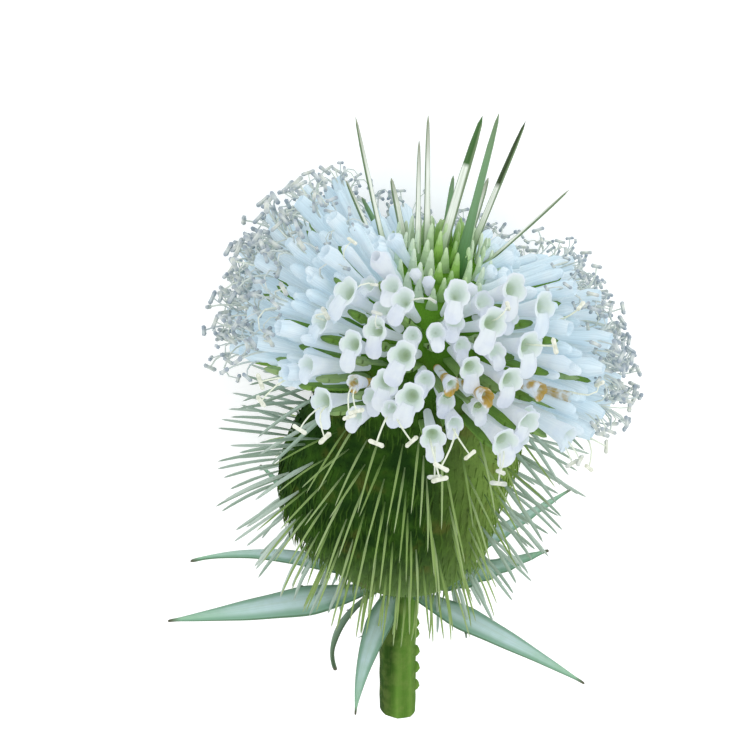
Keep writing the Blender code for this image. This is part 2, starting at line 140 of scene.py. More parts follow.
def paint(red: float, green: float, blue: float) -> Colour:
    """Turns a colour as a picture shows it, from 0 to 255, into the linear one that a shader takes.

    Args:
        red: how red it is.
        green: how green it is.
        blue: how blue it is.

    Returns:
        The colour, with an alpha of 1.
    """
    shares = (red / 255, green / 255, blue / 255)
    linear = [s / 12.92 if s <= 0.04045 else ((s + 0.055) / 1.055) ** 2.4 for s in shares]
    return (linear[0], linear[1], linear[2], 1.0)


@dataclass(frozen=True)
class Site:
    """One place on the head's spiral, with its share of the way up the span."""

    number: int
    share: float
    height: float
    azimuth: float
    point: Vector
    normal: Vector


@dataclass(frozen=True)
class HeadShape:
    """The blunt egg that all of the head grows from, and how it lies on the surface."""

    length: float = 0.056
    width: float = 0.0345
    widest_height: float = -0.0050
    bluntness: float = 2.4
    belly: float = 0.0030
    belly_span: Number = (-0.0300, 0.0060)
    waist: Place = (0.0025, 0.0030, 0.0018)  # height, spread and depth
    foot: float = -0.0274
    gap: float = 0.0003
    axis_height: float = 0.0270
    centre: Number = (0.0022, 0.0012)
    lean: float = radians(6)
    samples: int = 200
    steep: float = 0.05

    def radius(self, height: float) -> float:
        """Gives the egg's radius at this height.

        Args:
            height: measured from the middle of the head.

        Returns:
            The radius, less in the waist.
        """
        above = height > self.widest_height
        reach = self.length / 2 - self.widest_height if above else self.length / 2 + self.widest_height
        share = min(1.0, abs(height - self.widest_height) / reach)
        waist = self.waist[2] * exp(-(((height - self.waist[0]) / self.waist[1]) ** 2))
        return self.width / 2 * sqrt(1 - share**self.bluntness) - waist

    def shift(self, height: float) -> float:
        """Gives how far the egg's middle stands off the axis: below the florets it bulges to its left."""
        share = (height - self.belly_span[0]) / (self.belly_span[1] - self.belly_span[0])
        return -self.belly * sin(pi * limited(share)) ** 2

    def point(self, azimuth: float, height: float) -> Vector:
        """Gives the point of the egg's surface at this azimuth and height."""
        return radial(azimuth) * self.radius(height) + Vector((self.shift(height), 0, height))

    def normal(self, azimuth: float, height: float) -> Vector:
        """Gives the egg's outward normal at this azimuth and height.

        Args:
            azimuth: the angle about the axis, 0 in front.
            height: measured from the middle of the head.

        Returns:
            The normal, with length 1.
        """
        step = self.length / 2000
        above = self.radius(height + step) + self.shift(height + step) * sin(azimuth)
        below = self.radius(height - step) + self.shift(height - step) * sin(azimuth)
        return (radial(azimuth) - Vector((0, 0, (above - below) / (2 * step)))).normalized()

    def sites(self, count: int, span: Number, turn: float = 0.0) -> list[Site]:
        """Spreads repeats over a band of the egg on a golden spiral, each with an equal area.

        Args:
            count: how many repeats there are.
            span: the lowest and the highest height of the band.
            turn: how far the whole spiral is turned about the axis.

        Returns:
            The sites, from the lowest up.
        """
        heights = np.linspace(span[0], span[1], self.samples)
        radii = np.array([self.radius(height) for height in heights])
        rings = radii * np.sqrt(1 + np.gradient(radii, heights) ** 2)
        area = np.concatenate([[0.0], np.cumsum((rings[1:] + rings[:-1]) / 2)])
        shares = (np.arange(count) + 0.5) / count
        found = []
        for number, height in enumerate(np.interp(shares * area[-1], area, heights)):
            height = float(height)
            azimuth = number * GOLDEN_ANGLE + turn
            share = (height - span[0]) / (span[1] - span[0])
            point = self.point(azimuth, height)
            found.append(Site(number, share, height, azimuth, point, self.normal(azimuth, height)))
        return found

    def pressed(self, point: Vector, direction: Vector, length: float) -> Vector:
        """Turns a direction level where its tip would pass the surface that the head rests on.

        Args:
            point: where the repeat starts.
            direction: where it would point, with length 1.
            length: how long it is.

        Returns:
            The direction that it takes, with length 1.
        """
        limit = (self.axis_height - self.gap - point.y) / length
        if direction.y <= limit:
            return direction
        level = Vector((direction.x, 0, direction.z))
        if level.length < self.steep:
            level = Vector((0, 0, -1))
        level = level.normalized() * sqrt(1 - limit * limit)
        return Vector((level.x, limit, level.z))

    def lying(self) -> Matrix:
        """Gives the matrix that lays the upright head down where the frame has it."""
        place = Matrix.Translation((*self.centre, self.axis_height))
        return place @ Matrix.Rotation(-self.lean, 4, "Z") @ Matrix.Rotation(radians(-90), 4, "X")


@dataclass(frozen=True)
class Ring:
    """A cross-section of an extruded shape: its height, half sizes in X and Y, and place off the Z axis."""

    height: float
    width: float
    depth: float
    shift: Number = (0.0, 0.0)


class Bench:
    """The modelling moves that the sub-assemblies share."""

    @staticmethod
    def clear() -> None:
        """Leaves object mode on and nothing selected."""
        if bpy.context.mode != "OBJECT":
            bpy.ops.object.mode_set(mode="OBJECT")
        bpy.ops.object.select_all(action="DESELECT")

    @classmethod
    def take(cls, piece: Piece) -> None:
        """Makes one object the active one and the only one selected.

        Args:
            piece: the object.
        """
        cls.clear()
        piece.select_set(True)
        bpy.context.view_layer.objects.active = piece

    @classmethod
    def open(cls, piece: Piece) -> None:
        """Takes an object into edit mode, to select its vertices.

        Args:
            piece: the object.
        """
        cls.take(piece)
        bpy.ops.object.mode_set(mode="EDIT")
        bpy.ops.mesh.select_mode(type="VERT")

    @staticmethod
    def pick(piece: Piece, wanted: Callable[[Vector], bool]) -> None:
        """Selects the vertices whose places pass a test, with what lies between them.

        Args:
            piece: the object in edit mode.
            wanted: says of a vertex's place whether it is selected.
        """
        bpy.ops.mesh.select_all(action="DESELECT")
        shape = bmesh.from_edit_mesh(piece.data)
        for corner in shape.verts:
            if wanted(corner.co):
                corner.select_set(True)
        shape.select_flush(True)
        bmesh.update_edit_mesh(piece.data)

    @classmethod
    def close(cls, outward: bool = True) -> None:
        """Leaves edit mode, with the faces turned outward if asked.

        Args:
            outward: whether the faces are turned.
        """
        if outward:
            bpy.ops.mesh.select_all(action="SELECT")
            bpy.ops.mesh.normals_make_consistent(inside=False)
        bpy.ops.object.mode_set(mode="OBJECT")

    @classmethod
    def circle(cls, name: str, sides: int, radius: float) -> Piece:
        """Starts a shape as a filled circle, in edit mode and with all of it selected.

        Args:
            name: the object's name.
            sides: how many sides the circle has.
            radius: its radius.

        Returns:
            The shape.
        """
        cls.clear()
        bpy.ops.mesh.primitive_circle_add(vertices=sides, radius=radius, fill_type="NGON")
        piece = bpy.context.active_object
        piece.name = name
        cls.open(piece)
        bpy.ops.mesh.select_all(action="SELECT")
        return piece

    @classmethod
    def extruded(cls, name: str, sides: int, rings: Sequence[Ring], pointed: bool = True) -> Piece:
        """Extrudes a filled circle ring by ring along Z.

        Args:
            name: the object's name.
            sides: how many sides each ring has.
            rings: the cross-sections, from the lowest up.
            pointed: whether the last ring is drawn together to one point.

        Returns:
            The closed shape, in object mode.
        """
        first = rings[0]
        piece = cls.circle(name, sides, first.width)
        bpy.ops.transform.resize(value=(1, first.depth / first.width, 1), center_override=(0, 0, 0))
        bpy.ops.transform.translate(value=(*first.shift, first.height))
        for low, high in zip(rings, rings[1:]):
            step = (high.shift[0] - low.shift[0], high.shift[1] - low.shift[1], high.height - low.height)
            bpy.ops.mesh.extrude_region_move(TRANSFORM_OT_translate={"value": step})
            growth = (high.width / low.width, high.depth / low.depth, 1)
            bpy.ops.transform.resize(value=growth, center_override=(*high.shift, high.height))
        if pointed:
            bpy.ops.mesh.merge(type="CENTER")
        cls.close()
        return piece

    @classmethod
    def curved(
        cls, name: str, sides: int, radii: Sequence[float], step: float, turns: Sequence[float]
    ) -> Piece:
        """Extrudes a small filled circle along a curve in the YZ plane, starting along Z.

        Args:
            name: the object's name.
            sides: how many sides it has.
            radii: its radius at the start and after each step.
            step: the length of each step.
            turns: how far each step turns towards +Y, in radians.

        Returns:
            The closed shape, in object mode.
        """
        piece = cls.circle(name, sides, radii[0])
        point = Vector((0, 0, 0))
        heading = 0.0
        for low, high, turn in zip(radii, radii[1:], turns):
            heading += turn
            move = Vector((0, sin(heading), cos(heading))) * step
            point = point + move
            bpy.ops.mesh.extrude_region_move(TRANSFORM_OT_translate={"value": move})
            bpy.ops.transform.rotate(value=turn, orient_axis="X", center_override=point)
            bpy.ops.transform.resize(value=(high / low,) * 3, center_override=point)
        cls.close()
        return piece

    @staticmethod
    def mark(piece: Piece, name: str, value: float | Callable[[Vector], float]) -> None:
        """Stores a number at each vertex for the materials to read.

        Args:
            piece: the object, in object mode.
            name: the attribute's name.
            value: the number, or what works it out from the vertex's place.
        """
        layer = piece.data.attributes.get(name) or piece.data.attributes.new(name, "FLOAT", "POINT")
        corners = piece.data.vertices
        numbers = [value(c.co) for c in corners] if callable(value) else [value] * len(corners)
        layer.data.foreach_set("value", numbers)

    @classmethod
    def copy_of(cls, master: Piece, place: Matrix, **marks: float) -> Piece:
        """Copies a modelled repeat to its place, with its own mesh.

        Args:
            master: the repeat as modelled.
            place: the matrix that its mesh goes through.
            **marks: numbers to store over the whole copy, by attribute name.

        Returns:
            The copy.
        """
        copy = master.copy()
        copy.data = master.data.copy()
        bpy.context.scene.collection.objects.link(copy)
        copy.data.transform(place)
        for name, value in marks.items():
            cls.mark(copy, name, value)
        return copy

    @classmethod
    def joined(cls, name: str, pieces: Sequence[Piece]) -> Piece:
        """Joins objects into one and names it.

        Args:
            name: the new object's name.
            pieces: the objects, of which the first one stays.

        Returns:
            The joined object.
        """
        cls.take(pieces[0])
        for piece in pieces:
            piece.select_set(True)
        bpy.ops.object.join()
        made = bpy.context.active_object
        made.name = name
        made.data.name = name
        return made

    @classmethod
    def modified(cls, piece: Piece, kind: str, **settings: Any) -> None:
        """Adds a modifier with its settings and applies it.

        Args:
            piece: the object that it changes.
            kind: the modifier's type.
            **settings: its own properties.
        """
        cls.take(piece)
        modifier = piece.modifiers.new(kind.lower(), kind)
        for name, value in settings.items():
            setattr(modifier, name, value)
        bpy.ops.object.modifier_apply(modifier=modifier.name)

    @classmethod
    def smoothed(cls, piece: Piece, angle: float) -> None:
        """Shades an object smooth except across edges sharper than this angle."""
        cls.take(piece)
        bpy.ops.object.shade_smooth_by_angle(angle=angle)

    @staticmethod
    def drop(masters: Iterable[Piece]) -> None:
        """Removes modelled repeats that have been copied."""
        for master in masters:
            bpy.data.objects.remove(master)


def fitted(piece: Piece, shape: HeadShape, slot: str, *nodes: str) -> Piece:
    """Lays a finished upright piece down and hands it to the frame.

    Args:
        piece: the piece, modelled upright.
        shape: the head that it belongs to.
        slot: the record's material slot for its finish; not used.
        *nodes: the CAD nodes that it stands for.

    Returns:
        The same piece.
    """
    piece.data.transform(shape.lying())
    piece.data.update()
    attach(piece, "root")
    if nodes:
        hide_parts(*nodes)
    log.info("%s: %d faces", piece.name, len(piece.data.polygons))
    return piece


class Board:
    """A node tree with short ways to place its nodes and join them."""

    def __init__(self, tree: Tree) -> None:
        """Starts on a tree."""
        self.tree = tree

    def add(self, kind: str, inputs: dict[int | str, Any] | None = None, **settings: Any) -> Node:
        """Places one node.

        Args:
            kind: the node's type, without the leading ShaderNode.
            inputs: what goes into its sockets, by name or number: another socket, or a constant.
            **settings: the node's own properties.

        Returns:
            The node.
        """
        node = self.tree.nodes.new("ShaderNode" + kind)
        for name, value in settings.items():
            setattr(node, name, value)
        self.fill(node, inputs or {})
        return node

    def fill(self, node: Node, inputs: dict[int | str, Any]) -> None:
        """Gives a node's sockets their values.

        Args:
            node: the node.
            inputs: what goes into its sockets, by name or number: another socket, or a constant.
        """
        for name, value in inputs.items():
            if isinstance(value, Socket):
                self.join(value, node.inputs[name])
            else:
                node.inputs[name].default_value = value

    def join(self, source: Socket, target: Socket) -> None:
        """Joins an output to an input."""
        self.tree.links.new(source, target)

    def mix(self, share: Any, first: Any, second: Any) -> Socket:
        """Mixes two colours and gives the result."""
        return self.add("Mix", {0: share, 6: first, 7: second}, data_type="RGBA").outputs[2]

    def over(self, colour: Any, coat: Any, mask: Any, amount: Any) -> Socket:
        """Lays a second colour over a first where a mask says, in part."""
        return self.mix(self.times(mask, amount), colour, coat)

    def math(self, operation: str, *values: Any, clamp: bool = False) -> Socket:
        """Does one step of arithmetic and gives the result."""
        return self.add("Math", dict(enumerate(values)), operation=operation, use_clamp=clamp).outputs[0]

    def times(self, first: Any, second: Any) -> Socket:
        """Multiplies two numbers and gives the result, kept from 0 to 1."""
        return self.math("MULTIPLY", first, second, clamp=True)

    def band(self, value: Any, low: float, high: float) -> Socket:
        """Gives a smooth step from 0 at low to 1 at high."""
        node = self.add("MapRange", {0: value, 1: low, 2: high}, interpolation_type="SMOOTHSTEP")
        return node.outputs[0]

    def noise(self, place: Any, scale: Any, detail: float = 3.0) -> Socket:
        """Gives a noise value at this scale."""
        return self.add("TexNoise", {"Vector": place, "Scale": scale, "Detail": detail}).outputs[0]

    def mark(self, name: str) -> Socket:
        """Reads a number that is stored on the mesh."""
        return self.add("Attribute", attribute_name=name).outputs["Fac"]

    def marks(self, *names: str) -> list[Socket]:
        """Reads several numbers that are stored on the mesh."""
        return [self.mark(name) for name in names]

    def place(self) -> Socket:
        """Reads the place on the object."""
        return self.add("TexCoord").outputs["Object"]

    def group(self, tree: Tree, **inputs: Any) -> Node:
        """Places a node group, with its inputs by name.

        Args:
            tree: the group.
            **inputs: what goes into its sockets: another socket, or a constant.

        Returns:
            The node.
        """
        node = self.add("Group", node_tree=tree)
        self.fill(node, {name.replace("_", " ").capitalize(): value for name, value in inputs.items()})
        return node


class Effects:
    """The shader node groups that several finishes use, each built once."""

    def __init__(self) -> None:
        """Builds the groups."""
        self.blend = self._blend()
        self.mottle = self._mottle()
        self.fibre = self._fibre()
        self.tone = self._tone()

    @staticmethod
    def _start(name: str, takes: dict[str, Any], gives: dict[str, str]) -> tuple[Board, Any, Any]:
        """Opens a new group with its sockets.

        Args:
            name: the group's name.
            takes: the inputs, each with its usual value.
            gives: the outputs, each with its socket type.

        Returns:
            The board, the group's input sockets and its output sockets.
        """
        tree = bpy.data.node_groups.new(name, "ShaderNodeTree")
        for label, usual in takes.items():
            kind = "NodeSocketVector" if usual is None else "NodeSocketFloat"
            kind = "NodeSocketColor" if isinstance(usual, tuple) else kind
            socket = tree.interface.new_socket(name=label, in_out="INPUT", socket_type=kind)
            if usual is not None:
                socket.default_value = usual
        for label, kind in gives.items():
            tree.interface.new_socket(name=label, in_out="OUTPUT", socket_type="NodeSocket" + kind)
        inside = tree.nodes.new("NodeGroupInput")
        outside = tree.nodes.new("NodeGroupOutput")
        return Board(tree), inside.outputs, outside.inputs

    def _blend(self) -> Tree:
        """Builds the change of colour from a repeat's root over its middle to its tip.

        Returns:
            The group.
        """
        takes = {"Along": 0.5, "Root": GREY, "Middle": GREY, "Tip": GREY, "Root end": 0.3, "Tip start": 0.8,
                 "Tip end": 1.0}
        board, given, result = self._start("length_blend", takes, {"Colour": "Color"})
        along = given["Along"]
        low = board.add("MapRange", {0: along, 1: 0.0, 2: given["Root end"]}).outputs[0]
        high = board.add("MapRange", {0: along, 1: given["Tip start"], 2: given["Tip end"]}).outputs[0]
        body = board.mix(low, given["Root"], given["Middle"])
        board.join(board.mix(high, body, given["Tip"]), result["Colour"])
        return board.tree

    def _mottle(self) -> Tree:
        """Builds the uneven patches of living tissue, in colour and in height.

        Returns:
            The group.
        """
        takes = {"Place": None, "Scale": 400.0, "Colour": GREY, "Patch": GREY, "Amount": 0.5}
        board, given, result = self._start("mottle", takes, {"Colour": "Color", "Height": "Float"})
        coarse = board.noise(given["Place"], given["Scale"], 4.0)
        share = board.times(board.band(coarse, 0.38, 0.66), given["Amount"])
        board.join(board.mix(share, given["Colour"], given["Patch"]), result["Colour"])
        fine = board.noise(given["Place"], board.math("MULTIPLY", given["Scale"], 6.0), 2.0)
        board.join(board.math("ADD", coarse, fine), result["Height"])
        return board.tree

    def _fibre(self) -> Tree:
        """Builds the fine lines that run along a leaf, spine or stem.

        Returns:
            The group.
        """
        takes = {"Across": 0.0, "Along": 0.0, "Lines": 14.0, "Seed": 0.0}
        board, given, result = self._start("fibre", takes, {"Line": "Float"})
        drift = board.math("MULTIPLY", given["Along"], 2.5)
        width = board.math("MULTIPLY", given["Across"], given["Lines"])
        spot = board.add("CombineXYZ", {0: width, 1: drift, 2: given["Seed"]}).outputs[0]
        board.join(board.band(board.noise(spot, 1.0), 0.35, 0.65), result["Line"])
        return board.tree

    def _tone(self) -> Tree:
        """Builds the small change of lightness and hue that sets one repeat off from the next.

        Returns:
            The group.
        """
        takes = {"Colour": GREY, "Tint": 0.0, "Light": GREY, "Dark": GREY, "Amount": 0.3}
        board, given, result = self._start("tone", takes, {"Colour": "Color"})
        colour = given["Colour"]
        for sign, ink in ((1.0, given["Light"]), (-1.0, given["Dark"])):
            way = board.math("MULTIPLY", given["Tint"], sign, clamp=True)
            colour = board.mix(board.times(way, given["Amount"]), colour, ink)
        board.join(colour, result["Colour"])
        return board.tree


@dataclass(frozen=True)
class Finish:
    """What every finish has: a name, gloss and the effects that it draws on."""

    effects: Effects
    name: str = "finish"
    roughness: float = 0.6
    coat: float = 0.0
    specular: float = 0.12

    def open(self) -> tuple[Board, Material, Node]:
        """Starts the material with its Principled shader.

        Returns:
            The board, the material and the shader node.
        """
        material = bpy.data.materials.new(self.name)
        material.use_nodes = True
        board = Board(material.node_tree)
        shader = board.tree.nodes["Principled BSDF"]
        board.fill(shader, {"Roughness": self.roughness, "Coat Weight": self.coat, "Coat Roughness": 0.35,
                            "Specular IOR Level": self.specular})
        return board, material, shader

    @staticmethod
    def coloured(board: Board, shader: Node, colour: Socket, height: Socket, relief: Number) -> None:
        """Gives the shader its colour, and a relief with its strength and its depth in metres."""
        bump = board.add("Bump", {"Height": height, "Strength": relief[0], "Distance": relief[1]})
        board.fill(shader, {"Base Color": colour, "Normal": bump.outputs[0]})


@dataclass(frozen=True)
class BodyFinish(Finish):
    """The green tissue between the spines: deep green on the left, and yellow-green on the right from
    painted light.
    """

    name: str = "body_green"
    roughness: float = 0.9
    specular: float = 0.02
    deep: Colour = paint(30, 56, 20)
    light: Colour = paint(58, 92, 28)
    # painted light: the yellow-green that the right side takes, as if lit from there
    painted_sunlight: Colour = paint(142, 172, 88)
    low: Colour = paint(126, 156, 92)
    fresh: Colour = paint(92, 140, 42)
    red: Colour = paint(96, 66, 40)
    hair: Colour = paint(104, 136, 56)

    def material(self) -> Material:
        """Builds the material.

        Returns:
            The material.
        """
        board, material, shader = self.open()
        place = board.place()
        right, up = board.add("SeparateXYZ", {0: place}).outputs[:2]
        base = board.group(self.effects.mottle, place=place, scale=340.0, colour=self.deep,
                           patch=self.light, amount=0.6)
        # painted light: the right side turns a sunny yellow-green, as if lit from there
        colour = board.over(base.outputs["Colour"], self.painted_sunlight, board.band(right, 0.002, 0.017), 0.8)
        colour = board.over(colour, self.low, board.band(up, -0.010, -0.026), 0.6)
        colour = board.mix(board.band(up, 0.007, 0.021), colour, self.fresh)
        colour = board.over(colour, self.red, board.band(board.noise(place, 170.0), 0.58, 0.7), 0.3)
        colour = board.over(colour, self.hair, board.mark("along"), 0.3)
        self.coloured(board, shader, colour, base.outputs["Height"], (0.6, 0.0003))
        return material


@dataclass(frozen=True)
class BractFinish(Finish):
    """A green bract: dark root, pale ridge and dry tip, with fibres along it."""

    name: str = "bract_green"
    roughness: float = 0.5
    root: Colour = paint(46, 76, 26)
    middle: Colour = paint(142, 168, 96)
    tip: Colour = paint(158, 170, 134)
    edge: Colour = paint(116, 146, 88)
    light: Colour = paint(188, 204, 164)
    dark: Colour = paint(84, 116, 56)
    root_end: float = 0.4
    tip_start: float = 0.8
    tip_end: float = 1.0
    spread: float = 0.45
    edge_amount: float = 0.4
    edge_from: float = 0.35
    edge_to: float = 0.95

    def material(self) -> Material:
        """Builds the material.

        Returns:
            The material.
        """
        board, material, shader = self.open()
        along, across, tint = board.marks("along", "across", "tint")
        base = board.group(self.effects.blend, along=along, root=self.root, middle=self.middle, tip=self.tip,
                           root_end=self.root_end, tip_start=self.tip_start, tip_end=self.tip_end)
        rim = board.band(board.math("ABSOLUTE", across), self.edge_from, self.edge_to)
        colour = board.over(base.outputs[0], self.edge, rim, self.edge_amount)
        lines = board.group(self.effects.fibre, across=across, along=along, lines=5.0, seed=tint)
        colour = board.over(colour, self.dark, lines.outputs[0], 0.22)
        toned = board.group(self.effects.tone, colour=colour, tint=tint, light=self.light, dark=self.dark,
                            amount=self.spread)
        self.coloured(board, shader, toned.outputs[0], lines.outputs[0], (0.4, 0.0001))
        return material


@dataclass(frozen=True)
class PetalFinish(Finish):
    """The thin white corolla: pale blue painted shade at the sides, a grey-green throat that is partly
    painted shade, and ochre where it withers.
    """

    name: str = "petal_white"
    roughness: float = 0.6
    white: Colour = paint(198, 205, 209)
    lilac: Colour = paint(182, 190, 205)
    # painted shade: a cool pale blue mottle for the florets at the sides
    sky: Colour = paint(192, 214, 224)
    side_shade_patch: Colour = paint(210, 221, 225)
    streak: Colour = paint(170, 188, 198)
    # the throat's grey-green is partly painted shade under the hood; deep is darker painted shade further in
    throat: Colour = paint(188, 202, 194)
    deep: Colour = paint(146, 168, 134)
    tube: Colour = paint(192, 203, 206)
    ochre: Colour = paint(154, 128, 44)
    glow: float = 0.42

    def material(self) -> Material:
        """Builds the material, in which a faint glow stands for the light that thin petals let through.

        Returns:
            The material.
        """
        board, material, shader = self.open()
        place = board.place()
        along, across, tint = board.marks("along", "across", "tint")
        side, throat, age = board.marks("side", "throat", "age")
        base = board.group(self.effects.mottle, place=place, scale=420.0, colour=self.white,
                           patch=self.lilac, amount=0.6)
        colour = board.mix(board.band(along, 0.45, 0.85), self.tube, base.outputs["Colour"])
        # painted shade: the florets at the sides are mottled cool pale blue
        painted_side_shade = board.group(self.effects.mottle, place=place, scale=260.0, colour=self.sky, patch=self.side_shade_patch,
                           amount=0.7)
        colour = board.over(colour, painted_side_shade.outputs["Colour"], side, 0.9)
        colour = board.mix(board.band(throat, 0.0, 0.65), colour, self.throat)
        # painted shade: darker green deep down the throat
        colour = board.mix(board.band(throat, 0.66, 0.96), colour, self.deep)
        colour = board.over(colour, self.ochre, age, board.band(board.noise(place, 380.0), 0.42, 0.58))
        veins, fine = (
            board.group(self.effects.fibre, across=across, along=along, lines=lines, seed=tint).outputs[0]
            for lines in (9.0, 22.0)
        )
        colour = board.over(colour, self.lilac, veins, 0.12)
        colour = board.over(colour, self.streak, board.times(fine, side), 0.45)
        board.fill(shader, {"Emission Color": colour, "Emission Strength": self.glow})
        self.coloured(board, shader, board.mix(0.2, colour, (0.0, 0.0, 0.0, 1.0)), veins, (0.3, 0.00006))
        return material


@dataclass(frozen=True)
class StamenFinish(Finish):
    """A filament or an anther: pale, a little translucent and unevenly coloured, with grey painted shade at
    the anthers' ends.
    """

    name: str = "anther_cream"
    roughness: float = 0.6
    colour: Colour = paint(222, 224, 210)
    patch: Colour = paint(190, 194, 172)
    light: Colour = paint(240, 242, 240)
    dark: Colour = paint(178, 190, 200)
    # painted shade: grey at the ends of the anthers, strongest on those at the sides
    ends: Colour = paint(150, 162, 172)
    scale: float = 1500.0

    def material(self) -> Material:
        """Builds the material.

        Returns:
            The material.
        """
        board, material, shader = self.open()
        base = board.group(self.effects.mottle, place=board.place(), scale=self.scale, colour=self.colour,
                           patch=self.patch, amount=0.8)
        tint = board.mark("tint")
        toned = board.group(self.effects.tone, colour=base.outputs["Colour"], tint=tint,
                            light=self.light, dark=self.dark, amount=0.85)
        # painted shade: the anthers' ends turn grey, more where the tint is low
        ends = board.band(board.mark("end"), 0.1, 0.95)
        colour = board.over(toned.outputs[0], self.ends, ends, board.times(tint, -1.5))
        self.coloured(board, shader, colour, base.outputs["Height"], (0.5, 0.00008))
        return material


@dataclass(frozen=True)
class LeafFinish(Finish):
    """A leafy bract: a waxy blue-green bloom on green, with greener margins, veins and a dry tip."""

    name: str = "leaf_glaucous"
    roughness: float = 0.55
    coat: float = 0.08
    bloom: Colour = paint(194, 218, 221)
    green: Colour = paint(134, 182, 140)
    margin: Colour = paint(118, 160, 134)
    rim: Colour = paint(76, 110, 76)
    tip: Colour = paint(84, 84, 66)
    midrib: Colour = paint(186, 206, 196)
    green_from: float = 0.55

    def material(self) -> Material:
        """Builds the material.

        Returns:
            The material.
        """
        board, material, shader = self.open()
        along, across = board.marks("along", "across")
        side = board.math("ABSOLUTE", across)
        base = board.group(self.effects.blend, along=along, root=self.bloom, middle=self.bloom,
                           tip=self.green, root_end=0.2, tip_start=self.green_from)
        cloud = board.group(self.effects.mottle, place=board.place(), scale=330.0, colour=base.outputs[0],
                            patch=self.green, amount=0.25)
        veins = board.group(self.effects.fibre, across=across, along=along, lines=11.0).outputs[0]
        rib = board.add("MapRange", {0: side, 1: 0.0, 2: 0.12, 3: 0.3, 4: 0.0}).outputs[0]
        colour = board.over(cloud.outputs["Colour"], self.margin, board.band(side, 0.28, 0.75), 0.85)
        colour = board.mix(rib, colour, self.midrib)
        colour = board.over(colour, self.margin, veins, 0.12)
        colour = board.over(colour, self.rim, board.band(side, 0.84, 0.98), 0.85)
        colour = board.mix(board.band(along, 0.93, 1.0), colour, self.tip)
        relief = board.math("ADD", veins, cloud.outputs["Height"])
        self.coloured(board, shader, colour, relief, (0.25, 0.0001))
        return material


@dataclass(frozen=True)
class StemFinish(Finish):
    """The stem: fresh green ribs with darker grooves, a lit side and a shaded side."""

    name: str = "stem_green"
    roughness: float = 0.8
    specular: float = 0.05
    groove: Colour = paint(76, 112, 40)
    rib: Colour = paint(98, 136, 56)
    shade: Colour = paint(30, 56, 14)
    patch: Colour = paint(126, 140, 78)
    thorn: Colour = paint(104, 138, 58)

    def material(self) -> Material:
        """Builds the material.

        Returns:
            The material.
        """
        board, material, shader = self.open()
        colour = board.mix(board.mark("across"), self.groove, self.rib)
        colour = board.over(colour, self.shade, board.band(board.mark("left"), 0.3, 0.75), 0.95)
        spots = board.group(self.effects.mottle, place=board.place(), scale=500.0, colour=colour,
                            patch=self.patch, amount=0.3)
        turn, along = board.marks("turn", "along")
        lines = board.group(self.effects.fibre, across=turn, along=along, lines=40.0)
        colour = board.over(spots.outputs["Colour"], self.groove, lines.outputs[0], 0.25)
        colour = board.mix(board.mark("thorn"), colour, self.thorn)
        relief = board.math("ADD", lines.outputs[0], spots.outputs["Height"])
        self.coloured(board, shader, colour, relief, (0.5, 0.0002))
        return material


@dataclass(frozen=True)
class FloorFinish(Finish):
    """The pale floor, which is almost even and glows a little."""

    name: str = "floor"
    roughness: float = 0.9
    specular: float = 0.1
    light: Colour = (0.95, 0.95, 0.95, 1.0)
    dark: Colour = (0.93, 0.93, 0.93, 1.0)
    white: Colour = (1.0, 1.0, 1.0, 1.0)
    glow: float = 0.2

    def material(self) -> Material:
        """Builds the material.

        Returns:
            The material.
        """
        board, material, shader = self.open()
        grain = board.band(board.noise(board.place(), 20.0), 0.3, 0.7)
        board.fill(shader, {"Base Color": board.mix(grain, self.dark, self.light),
                            "Emission Color": self.white, "Emission Strength": self.glow})
        return material


@dataclass
class Blade:
    """A bract modelled once: a flat scale at the root that narrows to a slender, slightly bowed spine."""

    name: str
    length: float
    root_width: float
    spine_width: float
    scale_share: float = 0.3
    bow: float = 0.0
    flatness: float = 0.45
    root_depth: float = 0.0014
    root_taper: float = 1.0
    sides: int = 6

    def profile(self) -> list[tuple[float, float, float]]:
        """Gives the cross-sections from the root up: share of the length, half width and flatness.

        Returns:
            The three numbers of each.
        """
        wide = self.root_width / 2
        thin = self.spine_width / 2
        return [
            (-self.root_depth / self.length, wide * self.root_taper, 0.3),
            (0.05, wide * self.root_taper, self.flatness),
            (self.scale_share * 0.6, between((wide, thin), 0.55), self.flatness),
            (self.scale_share, thin * 1.1, (self.flatness + 0.8) / 2),
            (0.58, thin, 0.8),
            (0.8, thin * 0.82, 0.85),
            (0.94, thin * 0.5, 0.9),
            (1.0, thin * 0.1, 1.0),
        ]

    def model(self, material: Material) -> Piece:
        """Extrudes the bract along Z from its root at the origin.

        Args:
            material: what it is made of.

        Returns:
            The bract, with its along and across stored.
        """
        rings = []
        for share, width, flat in self.profile():
            off = self.bow * self.length * max(0.0, share) ** 2
            rings.append(Ring(share * self.length, width, width * flat, (0.0, off)))
        heights = [ring.height for ring in rings]
        widths = [ring.width for ring in rings]
        blade = Bench.extruded(self.name, self.sides, rings)
        Bench.mark(blade, "along", lambda place: limited(place.z / self.length))
        Bench.mark(blade, "across", lambda place: place.x / float(np.interp(place.z, heights, widths)))
        Bench.mark(blade, "tint", 0.0)
        blade.data.materials.append(material)
        Bench.smoothed(blade, radians(50))
        return blade


